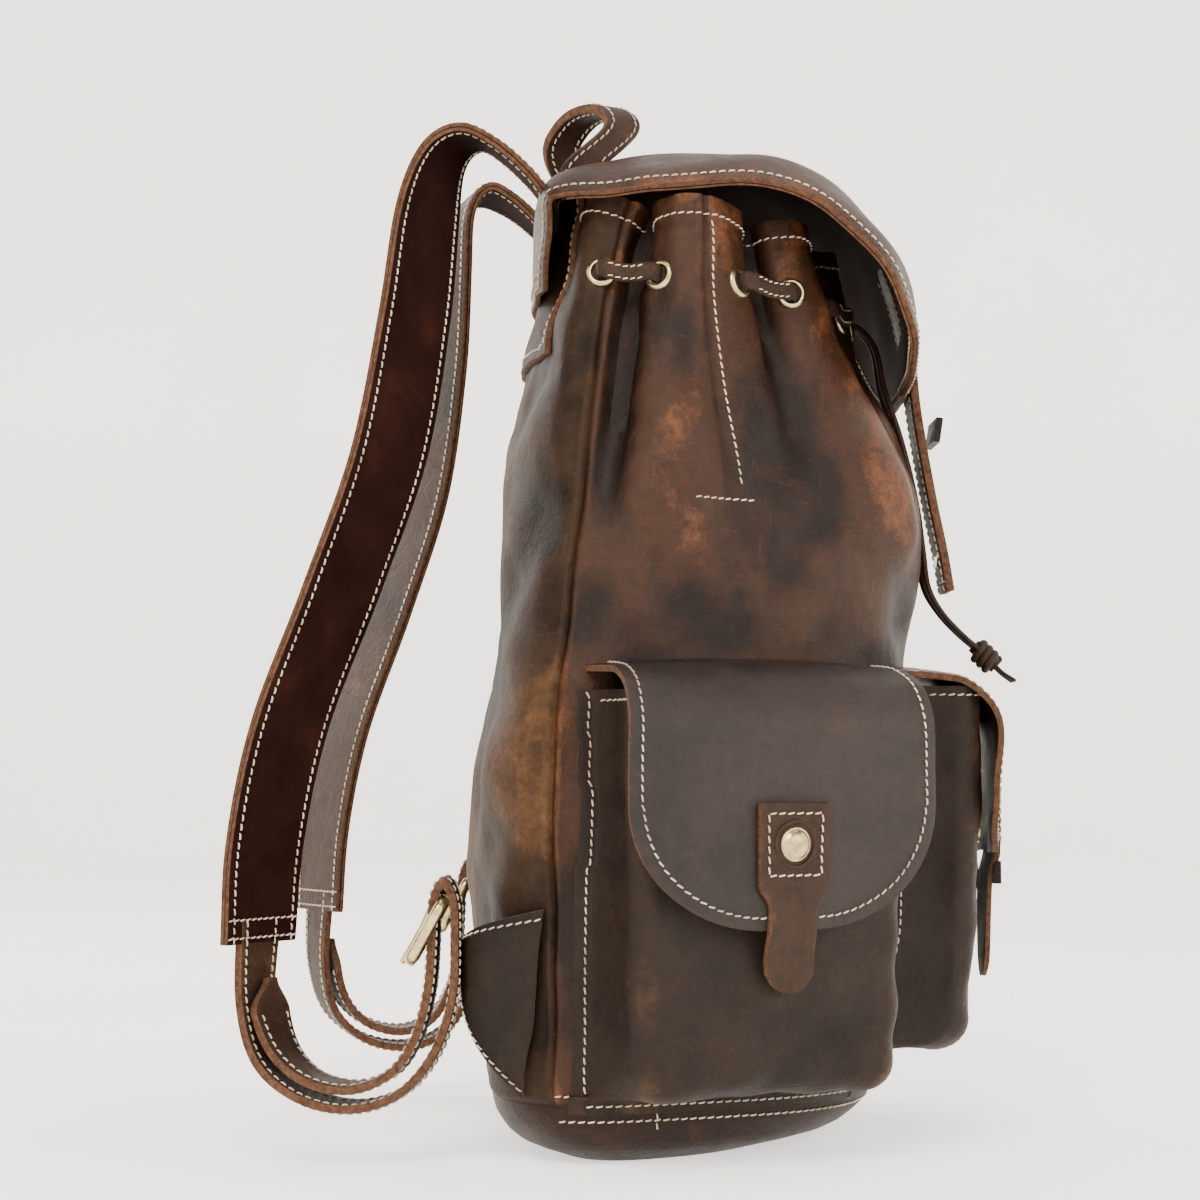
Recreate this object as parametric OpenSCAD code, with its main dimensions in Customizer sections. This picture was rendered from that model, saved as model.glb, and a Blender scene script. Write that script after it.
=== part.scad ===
// Leather drawstring backpack: a gathered bag body under a hinged lid, two side pockets,
// a front pocket and two buckled shoulder straps. Front faces -Y, the wearer's side +Y.

/* [Body] */
// Thickness of the leather
leather = 2.6; // [2:0.1:3]
// Half the width of the body at its middle
half_w = 127; // [118:1:132]
// Number of pleats gathered round the mouth
pleats = 8; // [8:8:8]
// Thickness of the cloth lining
cloth = 1; // [0.8:0.1:1.2]
// Thickness of the stiffening board under the lining
board = 2; // [1.5:0.1:2.5]

/* [Lid] */
// Half the width of the lid
lid_half_w = 110; // [100:1:114]
// How far the lid droops at its sides
lid_droop = 20; // [14:1:22]
// Width of the strap that closes the lid
lid_strap_w = 28; // [22:1:32]

/* [Pockets] */
// Width of a side pocket
side_w = 126; // [110:1:130]
// Width of the front pocket
front_w = 122; // [100:1:130]
// Depth of every pocket
pocket_d = 36; // [30:1:40]
// Angle that a side pocket turns toward the front
side_turn = 25; // [22:1:27]
// Diameter of a snap
snap_d = 14; // [12:0.5:16]

/* [Straps] */
// Width of a shoulder strap
strap_w = 46; // [40:1:50]
// Width of the adjusting strap
tail_w = 26; // [24:1:28]
// Thickness of one strap layer
layer = 2; // [1.6:0.1:2.4]

/* [Hardware] */
// Outer diameter of an eyelet
eyelet_d = 15; // [13:0.5:16]
// Hole through an eyelet
eyelet_bore = 8; // [7:0.5:9]
// Thickness of the drawstring
string_d = 4.4; // [4:0.2:5]
// Diameter of the buckle's wire
wire_d = 3.6; // [3:0.1:4]

/* [Hidden] */

// Body stations: height, half width, back, front, squareness of the outline
STATIONS = [
    [0, half_w - 25, 70, -30, 2.6],
    [5, half_w - 14, 83, -52, 2.8],
    [13, half_w - 8, 91, -66, 3],
    [24, half_w - 5, 95, -74, 3.1],
    [60, half_w - 1, 98, -85, 3.2],
    [110, half_w, 99, -90, 3.2],
    [160, half_w, 98, -91, 3.2],
    [200, half_w - 2, 96, -91, 3.1],
    [240, half_w - 5, 93, -95, 3],
    [275, half_w - 9, 89, -93, 2.8],
    [305, half_w - 15, 85, -83, 2.6],
    [335, half_w - 21, 79, -71, 2.4],
    [360, half_w - 26, 73, -62, 2.3],
    [382, half_w - 30, 66, -56, 2.2],
    [400, half_w - 33, 60, -51, 2.1]];
HEIGHTS = [for (s = STATIONS) s[0]];
BASE_ROWS = [for (z = HEIGHTS) if (z <= 24) z];
WALL_ROWS = [for (z = HEIGHTS) if (z >= 24) z];
LINING_ROWS = [for (z = HEIGHTS) if (z <= 335) z];
YOKE_ROWS = [for (z = HEIGHTS) if (z >= 335) z];
base_h = 24;
step_deg = 5;
seam_deg = 30;
yoke_deg = 55;
// How much the back is wider than the front, by height
TAPER = [[0, 0.3], [160, 0.35], [300, 0.25], [400, 0.1]];
// Depth of the pleats as a share of the radius, by height
PLEAT_DEPTH = [[240, 0], [275, 0.012], [305, 0.035], [335, 0.06], [360, 0.085], [400, 0.12]];
// Tilt of the mouth, by height
TILT = [[305, 0], [400, 0.12]];

colour_dark = "#3e2c22";
colour_worn = "#5a4030";
colour_flap = "#43352f";
colour_lining = "#351a14";
colour_cloth = "#8a6f4a";
colour_brass = "#b8a77a";
colour_edge = "#7a5638";

// ---- helpers ----

function col(z, i) = lookup(z, [for (s = STATIONS) [s[0], s[i]]]);
function power(v, n) = sign(v) * pow(abs(v), 2 / n);
function flat_back(t) = min(1, 3 * (1 - sin(t)));
function swell(t, z) = 1 + lookup(z, PLEAT_DEPTH) * flat_back(t) * cos(pleats * t);

// Point of the body at angle t and height z, set inward by off
function skin(t, z, off = 0) =
    let (n = col(z, 4), c = power(cos(t), n), s = power(sin(t), n),
        half = (col(z, 2) - col(z, 3)) / 2 - off, mid = (col(z, 2) + col(z, 3)) / 2,
        x = (col(z, 1) - off) * (1 + lookup(z, TAPER) * s) * c * swell(t, z),
        y = mid + half * s * swell(t, z))
    [x, y, z + lookup(z, TILT) * y + off * max(0, 1 - z / base_h)];
function unit(v) = v / norm(v);
function normal_at(t, z) = unit(cross(skin(t + 1, z) - skin(t - 1, z), skin(t, z + 3) - skin(t, z - 3)));
function off_skin(t, z, away) = skin(t, z) + normal_at(t, z) * away;

// Point at u along a smooth curve through the points p
function pick(p, i) = p[max(0, min(len(p) - 1, i))];
function smooth_at(p, u) =
    let (i = min(floor(u), len(p) - 2), f = u - i,
        a = pick(p, i - 1), b = pick(p, i), c = pick(p, i + 1), d = pick(p, i + 2))
    (2 * b + (c - a) * f + (2 * a - 5 * b + 4 * c - d) * f * f + (3 * b - a - 3 * c + d) * f * f * f) / 2;
function smooth(p, k) = [for (j = [0:(len(p) - 1) * k]) smooth_at(p, j / k)];

// Solid between two grids of points, outer and inner
module grid_solid(outer, inner) {
    rows = len(outer);
    n = len(outer[0]);
    count = rows * n;
    points = concat([for (r = outer) each r], [for (r = inner) each r]);
    faces = concat(
        [for (r = [0:rows - 2], i = [0:n - 2]) let (a = r * n + i)
            each [[a, a + n, a + 1], [a + 1, a + n, a + n + 1]]],
        [for (r = [0:rows - 2], i = [0:n - 2]) let (a = count + r * n + i)
            each [[a, a + 1, a + n], [a + 1, a + n + 1, a + n]]],
        [for (i = [0:n - 2]) each [[i, i + 1, count + i], [i + 1, count + i + 1, count + i]]],
        [for (i = [0:n - 2]) let (a = (rows - 1) * n + i)
            each [[a, count + a, a + 1], [a + 1, count + a, count + a + 1]]],
        [for (r = [0:rows - 2]) let (a = r * n)
            each [[a, count + a, a + n], [a + n, count + a, count + a + n]]],
        [for (r = [0:rows - 2]) let (a = r * n + n - 1)
            each [[a, a + n, count + a], [a + n, count + a + n, count + a]]]);
    polyhedron(points, faces);
}

// Closed dish: a ring of rows round the body with a flat bottom
module dish(rows, outer_off, inner_off) {
    n = 360 / step_deg;
    m = len(rows);
    count = m * n;
    points = concat([for (r = [0:m - 1], i = [0:n - 1]) skin(i * step_deg, rows[r], outer_off[r])],
        [for (r = [0:m - 1], i = [0:n - 1]) skin(i * step_deg, rows[r], inner_off[r])],
        [[0, 20, rows[0] + outer_off[0]], [0, 20, rows[0] + inner_off[0]]]);
    faces = concat(
        [for (r = [0:m - 2], i = [0:n - 1]) let (a = r * n + i, b = r * n + (i + 1) % n)
            each [[a, a + n, b], [b, a + n, b + n]]],
        [for (r = [0:m - 2], i = [0:n - 1]) let (a = count + r * n + i, b = count + r * n + (i + 1) % n)
            each [[a, b, a + n], [b, b + n, a + n]]],
        [for (i = [0:n - 1]) let (a = (m - 1) * n + i, b = (m - 1) * n + (i + 1) % n)
            each [[a, count + a, b], [b, count + a, count + b]]],
        [for (i = [0:n - 1]) [i, (i + 1) % n, 2 * count]],
        [for (i = [0:n - 1]) [count + (i + 1) % n, count + i, 2 * count + 1]]);
    polyhedron(points, faces);
}

// Panel of the body between two angles
module panel(t0, t1, rows, out_off, in_off) {
    steps = round((t1 - t0) / step_deg);
    grid_solid([for (z = rows) [for (i = [0:steps]) skin(t0 + i * step_deg, z, out_off)]],
        [for (z = rows) [for (i = [0:steps]) skin(t0 + i * step_deg, z, in_off)]]);
}

// Flat strip along stations [point, width, direction of the width], between two lifts
module ribbon(stations, low, high, k) {
    path = smooth([for (s = stations) s[0]], k);
    widths = smooth([for (s = stations) s[1]], k);
    sides = smooth([for (s = stations) s[2]], k);
    last = len(path) - 1;
    function lift_at(i) = unit(cross(unit(sides[i]), path[min(i + 1, last)] - path[max(i - 1, 0)]));
    function corner(i, side, lift) = path[i] + unit(sides[i]) * side * widths[i] / 2 + lift_at(i) * lift;
    grid_solid([for (i = [0:last]) [corner(i, -1, high), corner(i, 1, high)]],
        [for (i = [0:last]) [corner(i, -1, low), corner(i, 1, low)]]);
}

// Round tube along a path, closed into a ring when loop is true
module tube(path, d, sides, loop = false) {
    n = len(path);
    last = n - 1;
    function ahead(i) = loop ? path[(i + 1) % n] : path[min(i + 1, last)];
    function behind(i) = loop ? path[(i + last) % n] : path[max(i - 1, 0)];
    function ring(i) = let (t = unit(ahead(i) - behind(i)),
        u = unit(cross(t, [0.13, 0.11, 1])), v = cross(t, u))
        [for (j = [0:sides - 1]) path[i] + (u * cos(j * 360 / sides) + v * sin(j * 360 / sides)) * d / 2];
    spans = loop ? n : n - 1;
    faces = concat(
        [for (i = [0:spans - 1], j = [0:sides - 1])
            let (a = i * sides + j, b = i * sides + (j + 1) % sides,
                c = ((i + 1) % n) * sides + j, e = ((i + 1) % n) * sides + (j + 1) % sides)
            each [[a, b, c], [b, e, c]]],
        loop ? [] : [[for (j = [sides - 1:-1:0]) j], [for (j = [0:sides - 1]) last * sides + j]]);
    polyhedron([for (i = [0:last]) each ring(i)], faces);
}

module rounded_plate(w, h, r, thick) {
    linear_extrude(thick)
        union() {
            translate([-w / 2 + r, 0]) square([w - 2 * r, h]);
            translate([-w / 2, r]) square([w, h - 2 * r]);
            for (x = [-w / 2 + r, w / 2 - r], y = [r, h - r]) translate([x, y]) circle(r, $fn = 32);
        }
}

// ---- body ----

// Each pleat has an eyelet on both flanks, except behind the yoke, and one more faces the front
eyelet_z = 366;
flank_deg = 12;
valley_deg = 180 / pleats;
function clear_of_yoke(t) = sin(t) < 0.7;
EYELETS = concat([for (i = [0:pleats - 1], side = [-flank_deg, flank_deg])
    let (t = i * 2 * valley_deg + side) if (clear_of_yoke(t)) t], [270]);

module along_normal(t, z) {
    m = normal_at(t, z);
    translate(skin(t, z, leather / 2)) rotate([0, acos(m[2]), atan2(m[1], m[0])]) children();
}

module eyelet_holes() {
    for (t = EYELETS) along_normal(t, eyelet_z)
        cylinder(d = eyelet_bore + 2, h = 16, center = true, $fn = 32);
}

module back_panel() {
    color(colour_dark)
        difference() {
            panel(seam_deg, 180 - seam_deg, WALL_ROWS, 0, leather);
            eyelet_holes();
        }
}

module front_panel() {
    color(colour_worn)
        difference() {
            panel(180 - seam_deg, 360 + seam_deg, WALL_ROWS, 0, leather);
            eyelet_holes();
        }
}

module base_panel() {
    color(colour_worn) dish(BASE_ROWS, [for (z = BASE_ROWS) 0], [for (z = BASE_ROWS) leather]);
}

function lining_off(z) = leather + 0.1 + (board + 0.1) * max(0, 1 - z / base_h);

module lining() {
    color(colour_cloth)
        dish(LINING_ROWS, [for (z = LINING_ROWS) lining_off(z)],
            [for (z = LINING_ROWS) lining_off(z) + cloth]);
}

module base_board() {
    color(colour_edge)
        translate([0, 20, leather]) linear_extrude(board) square([150, 70], center = true);
}

// Patch over the top of the back, with a shelf forward under the grab loop
shelf_front = 44;
shelf_z = 420;
module back_yoke() {
    steps = (180 - 2 * yoke_deg) / step_deg;
    function row(z, off) = [for (i = [0:steps]) skin(yoke_deg + i * step_deg, z, off)];
    function shelf(y, z) = [for (i = [0:steps]) [skin(yoke_deg + i * step_deg, 400)[0], y, z]];
    color(colour_dark)
        grid_solid(
            concat([for (z = YOKE_ROWS) row(z, -leather)],
                [shelf(67, 413), shelf(60, shelf_z), shelf(shelf_front, shelf_z + 3)]),
            concat([for (z = YOKE_ROWS) row(z, 0)],
                [shelf(64.4, 411.5), shelf(59, shelf_z - 2.4), shelf(shelf_front, shelf_z + 0.4)]));
}

module eyelets() {
    color(colour_brass)
        for (t = EYELETS) along_normal(t, eyelet_z)
            difference() {
                union() {
                    cylinder(d = eyelet_bore + 2, h = leather + 2, center = true, $fn = 48);
                    translate([0, 0, leather / 2])
                        cylinder(d1 = eyelet_d, d2 = eyelet_bore + 3, h = 1.4, $fn = 48);
                    translate([0, 0, -leather / 2 - 0.8]) cylinder(d = eyelet_d - 1, h = 0.8, $fn = 48);
                }
                cylinder(d = eyelet_bore, h = 20, center = true, $fn = 48);
            }
}

// The drawstring runs outside across each valley and inside behind each pleat and the yoke
string_out = string_d;
string_in = -string_d - leather;
function string_lap(c) = concat(
    clear_of_yoke(c - flank_deg) ? [[c - flank_deg, string_out]] : [],
    [[c - flank_deg, string_in], [c, string_in - 1], [c + flank_deg, string_in]],
    clear_of_yoke(c + flank_deg) ? [[c + flank_deg, string_out]] : [],
    [[c + valley_deg, clear_of_yoke(c + valley_deg) ? string_out : string_in]]);
STRING_LAPS = [for (i = [0:pleats - 1]) each string_lap(i * 2 * valley_deg)];
STRING_PATH = [for (lap = STRING_LAPS) off_skin(lap[0], eyelet_z, lap[1])];

module drawstring() {
    color(colour_edge) tube(STRING_PATH, string_d - 1, 6, true);
}

// The two hanging ends leave the front eyelet, run down under the lid strap and meet in the knot
STRING_ENDS = [[2.4, -59, 361], [2.6, -70, 360], [5, -78, 350], [8, -81.5, 332], [10, -89, 308],
    [11, -95.5, 280], [11, -98.5, 258], [8, -101, 242], [5, -107, 231], [4, -115, 222], [3, -124, 214]];

module drawstring_ends() {
    for (side = [-1, 1])
        color(colour_edge)
            tube([for (p = smooth(STRING_ENDS, 3)) [p[0] * side, p[1], p[2]]], string_d, 8);
}

module drawstring_knot() {
    color(colour_dark)
        translate([0, -124, 214]) rotate([-46, 0, 0])
            union() {
                translate([0, 0, -11]) cylinder(d = 12, h = 11, $fn = 40);
                translate([0, 0, -22]) cylinder(d1 = 5, d2 = 9, h = 11, $fn = 40);
            }
}

// ---- lid ----

LID_LINE = [[42, 423], [22, 430], [-10, 432], [-38, 427], [-60, 413], [-78, 393], [-87.5, 367], [-89.5, 343],
    [-88.5, 327]];
LID_WIDTHS = [0.78, 0.92, 1, 1.01, 1.01, 0.98, 0.88, 0.66, 0.3];
LID_DROOP = [0.15, 0.7, 1, 1.05, 1.1, 1.1, 0.9, 0.5, 0.1];

function lid_grid(lift) =
    let (k = 2, line = smooth(LID_LINE, k), width = smooth(LID_WIDTHS, k),
        droop = smooth(LID_DROOP, k), n = 12,
        last = len(line) - 1)
    [for (i = [0:last])
        let (t = unit(line[min(i + 1, last)] - line[max(i - 1, 0)]))
        [for (j = [0:n]) let (u = 2 * j / n - 1)
            [u * lid_half_w * width[i], line[i][0] + t[1] * lift,
                line[i][1] - t[0] * lift - droop[i] * lid_droop * u * u]]];

module lid_layer(low, high) {
    grid_solid(lid_grid(high), lid_grid(low));
}

module lid_outer() {
    color(colour_dark) lid_layer(0, leather);
}

module lid_lining() {
    color(colour_lining) lid_layer(-1.2, 0);
}

LID_STRAP = [[-79, 395], [-89, 369], [-93.5, 345], [-95.5, 325], [-98.5, 305], [-103, 280], [-107.5, 258],
    [-110.5, 240]];

module lid_strap() {
    color(colour_worn)
        ribbon([for (p = LID_STRAP) [[0, p[0] - 2.2, p[1] + 1.4], lid_strap_w, [1, 0, 0]]], 0, 2 * layer, 2);
}

module lid_strap_keeper() {
    color(colour_dark)
        translate([0, -105.1, 312]) rotate([8.5, 0, 0]) cube([lid_strap_w + 6, 3, 11], center = true);
}

module snap_disc(thick, d) {
    rotate([90, 0, 0]) cylinder(d = d, h = thick, $fn = 48);
}

module lid_snap_stud() {
    color(colour_brass) translate([0, -105.4, 258]) snap_disc(2, snap_d);
}

module lid_snap_socket() {
    color(colour_brass) translate([0, -92.5, 258]) snap_disc(3.5, snap_d);
}

GRAB_LINE = [[-24, 427], [-25, 440], [-20, 453], [-8, 460], [8, 460], [20, 453], [25, 440], [24, 427]];

module grab_loop() {
    color(colour_worn)
        translate([0, 57, 0])
            ribbon([for (p = GRAB_LINE)
                [[p[0], 0, p[1]], 18, [0, 1, 0]]], 0, 4, 3);
}

// ---- pockets: each is drawn facing -Y with its back on the plane Y = 0, then put in place ----

corner_r = 14;
flap_gap = 5;

// Band round the sides and the bottom
module gusset(w, h, seat) {
    color(colour_worn)
        difference() {
            translate([0, seat, 0]) rotate([90, 0, 0])
                rounded_plate(w, h, corner_r, pocket_d + seat - leather);
            translate([0, seat + 1, 0]) rotate([90, 0, 0])
                translate([0, leather, 0])
                    rounded_plate(w - 2 * leather, h + corner_r, corner_r - leather, pocket_d + seat + 2);
        }
}

module pocket_front(w, h) {
    color(colour_flap)
        translate([0, leather - pocket_d, 0]) rotate([90, 0, 0]) rounded_plate(w, h, corner_r, leather);
}

// Side view of a flap: out from the bag over the pocket, round a bend and down, as a band of leather
module flap_profile(drop, lift, start) {
    r = 18;
    reach = pocket_d + flap_gap;
    difference() {
        union() {
            translate([-reach + r, 0]) square([reach - r - start, lift]);
            translate([-reach - lift, -drop]) square([lift, drop - r]);
            intersection() {
                translate([r - reach, -r]) circle(r + lift, $fn = 96);
                translate([-reach - lift, -r]) square([r + lift, r + lift]);
            }
        }
        translate([r - reach, -r]) circle(r, $fn = 96);
    }
}

module flap(w, drop, tip_r, start) {
    color(colour_flap)
        intersection() {
            rotate([90, 0, 90]) translate([0, 0, -w / 2]) linear_extrude(w)
                flap_profile(drop, leather, start);
            translate([0, 30, 0]) rotate([90, 0, 0]) linear_extrude(120)
                union() {
                    translate([-w / 2, tip_r - drop]) square([w, drop + 20 - tip_r]);
                    translate([-w / 2 + tip_r, -drop]) square([w - 2 * tip_r, tip_r + 1]);
                    for (x = [-w / 2 + tip_r, w / 2 - tip_r]) translate([x, tip_r - drop])
                        circle(tip_r, $fn = 96);
                }
        }
}

flap_face = -pocket_d - flap_gap - leather;

module tab(top, bottom) {
    color(colour_worn)
        translate([0, flap_face, 0]) rotate([90, 0, 0]) linear_extrude(leather)
            union() {
                translate([-16, top - 32]) square([32, 32]);
                translate([0, top - 32]) polygon([[-16, 0.1], [-11, -8], [11, -8], [16, 0.1]]);
                translate([-11, bottom + 11]) square([22, top - 40 - bottom - 10]);
                translate([0, bottom + 11]) circle(11, $fn = 64);
            }
}

module rivet(z) {
    color(colour_brass)
        translate([0, flap_face - leather, z])
            union() {
                rotate([90, 0, 0]) cylinder(d = snap_d - 1, h = 1, $fn = 64);
                translate([0, -1, 0]) intersection() {
                    translate([0, 7, 0]) sphere(r = 9.5, $fn = 64);
                    rotate([90, 0, 0]) cylinder(d = snap_d - 2, h = 4, $fn = 64);
                }
            }
}

module pocket_stud(z) {
    color(colour_brass) translate([0, flap_face + leather + 2, z]) snap_disc(2, snap_d);
}

module pocket_socket(z) {
    color(colour_brass) translate([0, -pocket_d, z]) snap_disc(2.4, snap_d);
}

// Side pockets
side_base_z = 28;
side_h = 168;
side_flap_z = 206;
side_drop = 112;
side_rivet_z = -78;

module on_side(side) {
    mirror([side > 0 ? 1 : 0, 0, 0])
        translate([-121.5, -2, 0]) rotate([0, 0, side_turn - 90]) children();
}

// Front pocket: its flap starts front_flap_start in front of the pocket's back plane
front_y = -83;
front_seat = 6;
front_flap_start = 12;
front_base_z = 40;
front_h = 152;
front_flap_z = 202;
front_drop = 82;
front_rivet_z = -68;

module on_front() {
    translate([0, front_y, 0]) children();
}

module side_gusset(side) {
    on_side(side) translate([0, 0, side_base_z]) gusset(side_w, side_h, 14);
}

module side_front(side) {
    on_side(side) translate([0, 0, side_base_z]) pocket_front(side_w, side_h);
}

module side_socket(side) {
    on_side(side) translate([0, 0, side_flap_z]) pocket_socket(side_rivet_z);
}

module side_flap(side) {
    on_side(side) translate([0, 0, side_flap_z]) flap(side_w + 12, side_drop, 52, 4);
}

module side_tab(side) {
    on_side(side) translate([0, 0, side_flap_z]) tab(-62, -137);
}

module side_rivet(side) {
    on_side(side) translate([0, 0, side_flap_z]) rivet(side_rivet_z);
}

module side_stud(side) {
    on_side(side) translate([0, 0, side_flap_z]) pocket_stud(side_rivet_z);
}

module left_pocket_gusset() { side_gusset(-1); }
module left_pocket_front() { side_front(-1); }
module left_snap_socket() { side_socket(-1); }
module left_flap() { side_flap(-1); }
module left_tab() { side_tab(-1); }
module left_rivet() { side_rivet(-1); }
module left_snap_stud() { side_stud(-1); }
module right_pocket_gusset() { side_gusset(1); }
module right_pocket_front() { side_front(1); }
module right_snap_socket() { side_socket(1); }
module right_flap() { side_flap(1); }
module right_tab() { side_tab(1); }
module right_rivet() { side_rivet(1); }
module right_snap_stud() { side_stud(1); }

module front_pocket_gusset() {
    on_front() translate([0, 0, front_base_z]) gusset(front_w, front_h, front_seat);
}

module front_pocket_front() {
    on_front() translate([0, 0, front_base_z]) pocket_front(front_w, front_h);
}

module front_snap_socket() {
    on_front() translate([0, 0, front_flap_z]) pocket_socket(front_rivet_z);
}

module front_flap() {
    on_front() translate([0, 0, front_flap_z]) flap(front_w + 8, front_drop, 40, front_flap_start);
}

module front_tab() {
    on_front() translate([0, 0, front_flap_z]) tab(-52, -140);
}

module front_tab_keeper() {
    color(colour_worn)
        on_front() translate([0, flap_face - leather - 1.5, front_flap_z - 88])
            cube([28, 3, 10], center = true);
}

module front_snap_stud() {
    on_front() translate([0, 0, front_flap_z]) pocket_stud(front_rivet_z);
}

// ---- shoulder straps: drawn for the left, mirrored for the right ----

// Wide strap from the yoke over its crest and down to the end of the padding
WIDE_STRAP = [
    [[-58, 79, 415], strap_w - 4, [1, -0.05, 0]],
    [[-60, 90, 428], strap_w - 2, [1, -0.1, 0]],
    [[-64, 103, 433], strap_w, [1, -0.2, 0]],
    [[-70, 114, 423], strap_w, [1, -0.35, 0]],
    [[-80, 121, 396], strap_w, [0.9, -0.5, 0]],
    [[-92, 127, 350], strap_w, [0.84, -0.55, 0]],
    [[-103, 136, 290], strap_w, [0.81, -0.58, 0]],
    [[-113, 153, 235], strap_w, [0.81, -0.58, 0]],
    [[-121, 172, 180], strap_w, [0.82, -0.56, 0]],
    [[-125, 182, 130], strap_w, [0.84, -0.54, 0]],
    [[-127, 185, 90], strap_w, [0.86, -0.5, 0]]];

// Narrow strap: round the bottom, up into the buckle, over its bar and back along the inside
TAIL_LINE = [[-127, 185, 96], [-128, 186, 66], [-128, 180, 42], [-127, 164, 28], [-125, 144, 24],
    [-121, 126, 30], [-117, 113, 46], [-114.5, 106.5, 68], [-114, 105.5, 90], [-114, 106, 106],
    [-114, 110, 114.5], [-114, 114, 106], [-114, 114.5, 90], [-115, 116, 70], [-117, 121, 51],
    [-121, 130, 37.5], [-125, 145, 31.5], [-127, 162, 35],
    [-128, 174, 46], [-128, 180, 62], [-127.5, 180.5, 76]];
TAIL_SIDES = [[0, [0.86, -0.5, 0]], [3, [0.96, -0.2, 0]], [7, [1, 0, 0]], [14, [1, -0.05, 0]],
    [17, [0.96, -0.2, 0]], [20, [0.86, -0.5, 0]]];
function side_at(i) = [for (axis = [0:2]) lookup(i, [for (s = TAIL_SIDES) [s[0], s[1][axis]]])];
TAIL_STRAP = [for (i = [0:len(TAIL_LINE) - 1]) [TAIL_LINE[i], tail_w, side_at(i)]];

module handed(side) {
    mirror([side > 0 ? 1 : 0, 0, 0]) children();
}

module strap_outer(side) {
    color(colour_worn) handed(side) ribbon(WIDE_STRAP, 0, layer, 3);
}

module strap_lining(side) {
    color(colour_lining) handed(side) ribbon(WIDE_STRAP, -layer, 0, 3);
}

module strap_tail(side) {
    color(colour_worn) handed(side) ribbon(TAIL_STRAP, -tail_thick / 2, tail_thick / 2, 3);
}

tail_thick = 3;
buckle_at = [-114, 117, 94.5];
buckle_tilt = 29;

module frame_wire(w, h) {
    for (z = [-h / 2, h / 2]) translate([0, 0, z]) rotate([0, 90, 0])
        cylinder(d = wire_d, h = w, center = true, $fn = 32);
    for (x = [-w / 2, w / 2]) translate([x, 0, 0]) cylinder(d = wire_d, h = h, center = true, $fn = 32);
    for (x = [-w / 2, w / 2], z = [-h / 2, h / 2]) translate([x, 0, z]) sphere(d = wire_d, $fn = 32);
}

buckle_w = 34;
buckle_h = 28;

module buckle(side) {
    color(colour_brass) handed(side) translate(buckle_at) rotate([buckle_tilt, 0, 0])
        frame_wire(buckle_w, buckle_h);
}

module prong(side) {
    color(colour_brass)
        handed(side) translate(buckle_at) rotate([buckle_tilt, 0, 0])
            union() {
                translate([0, 0, buckle_h / 2]) rotate([0, 90, 0])
                    difference() {
                        cylinder(d = wire_d + 2.4, h = 4, center = true, $fn = 32);
                        cylinder(d = wire_d + 0.1, h = 6, center = true, $fn = 32);
                    }
                translate([0, 3.4, -1]) cylinder(d = 2.6, h = buckle_h + 4, center = true, $fn = 32);
            }
}

// Triangular patch sewn to the bag's lower back corner, with its point behind the buckle
anchor_turn = 47;
ANCHOR = [[-18, 28], [-18, 104], [28, 97], [28, 80]];

module anchor(side) {
    color(colour_dark)
        handed(side)
            translate([-134.7, 77.9, 0]) rotate([0, 0, anchor_turn]) rotate([90, 0, 0])
                linear_extrude(leather) polygon(ANCHOR);
}

module left_anchor() { anchor(-1); }
module left_strap_outer() { strap_outer(-1); }
module left_strap_lining() { strap_lining(-1); }
module left_strap_tail() { strap_tail(-1); }
module left_buckle() { buckle(-1); }
module left_prong() { prong(-1); }
module right_anchor() { anchor(1); }
module right_strap_outer() { strap_outer(1); }
module right_strap_lining() { strap_lining(1); }
module right_strap_tail() { strap_tail(1); }
module right_buckle() { buckle(1); }
module right_prong() { prong(1); }

back_panel();
front_panel();
base_panel();
lining();
base_board();
back_yoke();
eyelets();
drawstring();
drawstring_ends();
drawstring_knot();
lid_snap_socket();
lid_outer();
lid_lining();
lid_strap();
lid_strap_keeper();
lid_snap_stud();
grab_loop();
left_pocket_gusset();
left_pocket_front();
left_snap_socket();
left_flap();
left_tab();
left_rivet();
left_snap_stud();
right_pocket_gusset();
right_pocket_front();
right_snap_socket();
right_flap();
right_tab();
right_rivet();
right_snap_stud();
front_pocket_gusset();
front_pocket_front();
front_snap_socket();
front_flap();
front_tab();
front_tab_keeper();
front_snap_stud();
left_anchor();
left_strap_outer();
left_strap_lining();
left_strap_tail();
left_buckle();
left_prong();
right_anchor();
right_strap_outer();
right_strap_lining();
right_strap_tail();
right_buckle();
right_prong();
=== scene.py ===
"""Leather drawstring backpack: the looks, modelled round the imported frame.

Sizes in the helper functions are millimetres in the frame's axes: X across the bag, -Y to the
front pocket, +Z up. They turn to metres when a mesh is made.
"""

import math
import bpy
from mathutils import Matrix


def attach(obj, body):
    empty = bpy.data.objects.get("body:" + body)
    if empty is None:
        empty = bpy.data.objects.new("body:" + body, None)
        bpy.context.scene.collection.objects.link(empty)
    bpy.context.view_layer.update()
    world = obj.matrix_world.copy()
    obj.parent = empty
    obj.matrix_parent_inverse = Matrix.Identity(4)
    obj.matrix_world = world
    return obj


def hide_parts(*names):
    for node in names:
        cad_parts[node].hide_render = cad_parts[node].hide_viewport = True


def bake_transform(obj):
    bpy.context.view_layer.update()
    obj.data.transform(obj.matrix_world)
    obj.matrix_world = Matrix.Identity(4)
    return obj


bl_info = {
    "name": "Leather Drawstring Backpack",
    "version": (1, 0, 0),
    "blender": (4, 5, 0),
    "location": "View3D > Sidebar > Backpack",
    "description": "Models the leather, seams, hardware and stage of a drawstring backpack",
    "category": "Object",
}

import bmesh
import bpy
import numpy as np
from bpy.props import FloatProperty, FloatVectorProperty, PointerProperty
from mathutils import Vector

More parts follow.
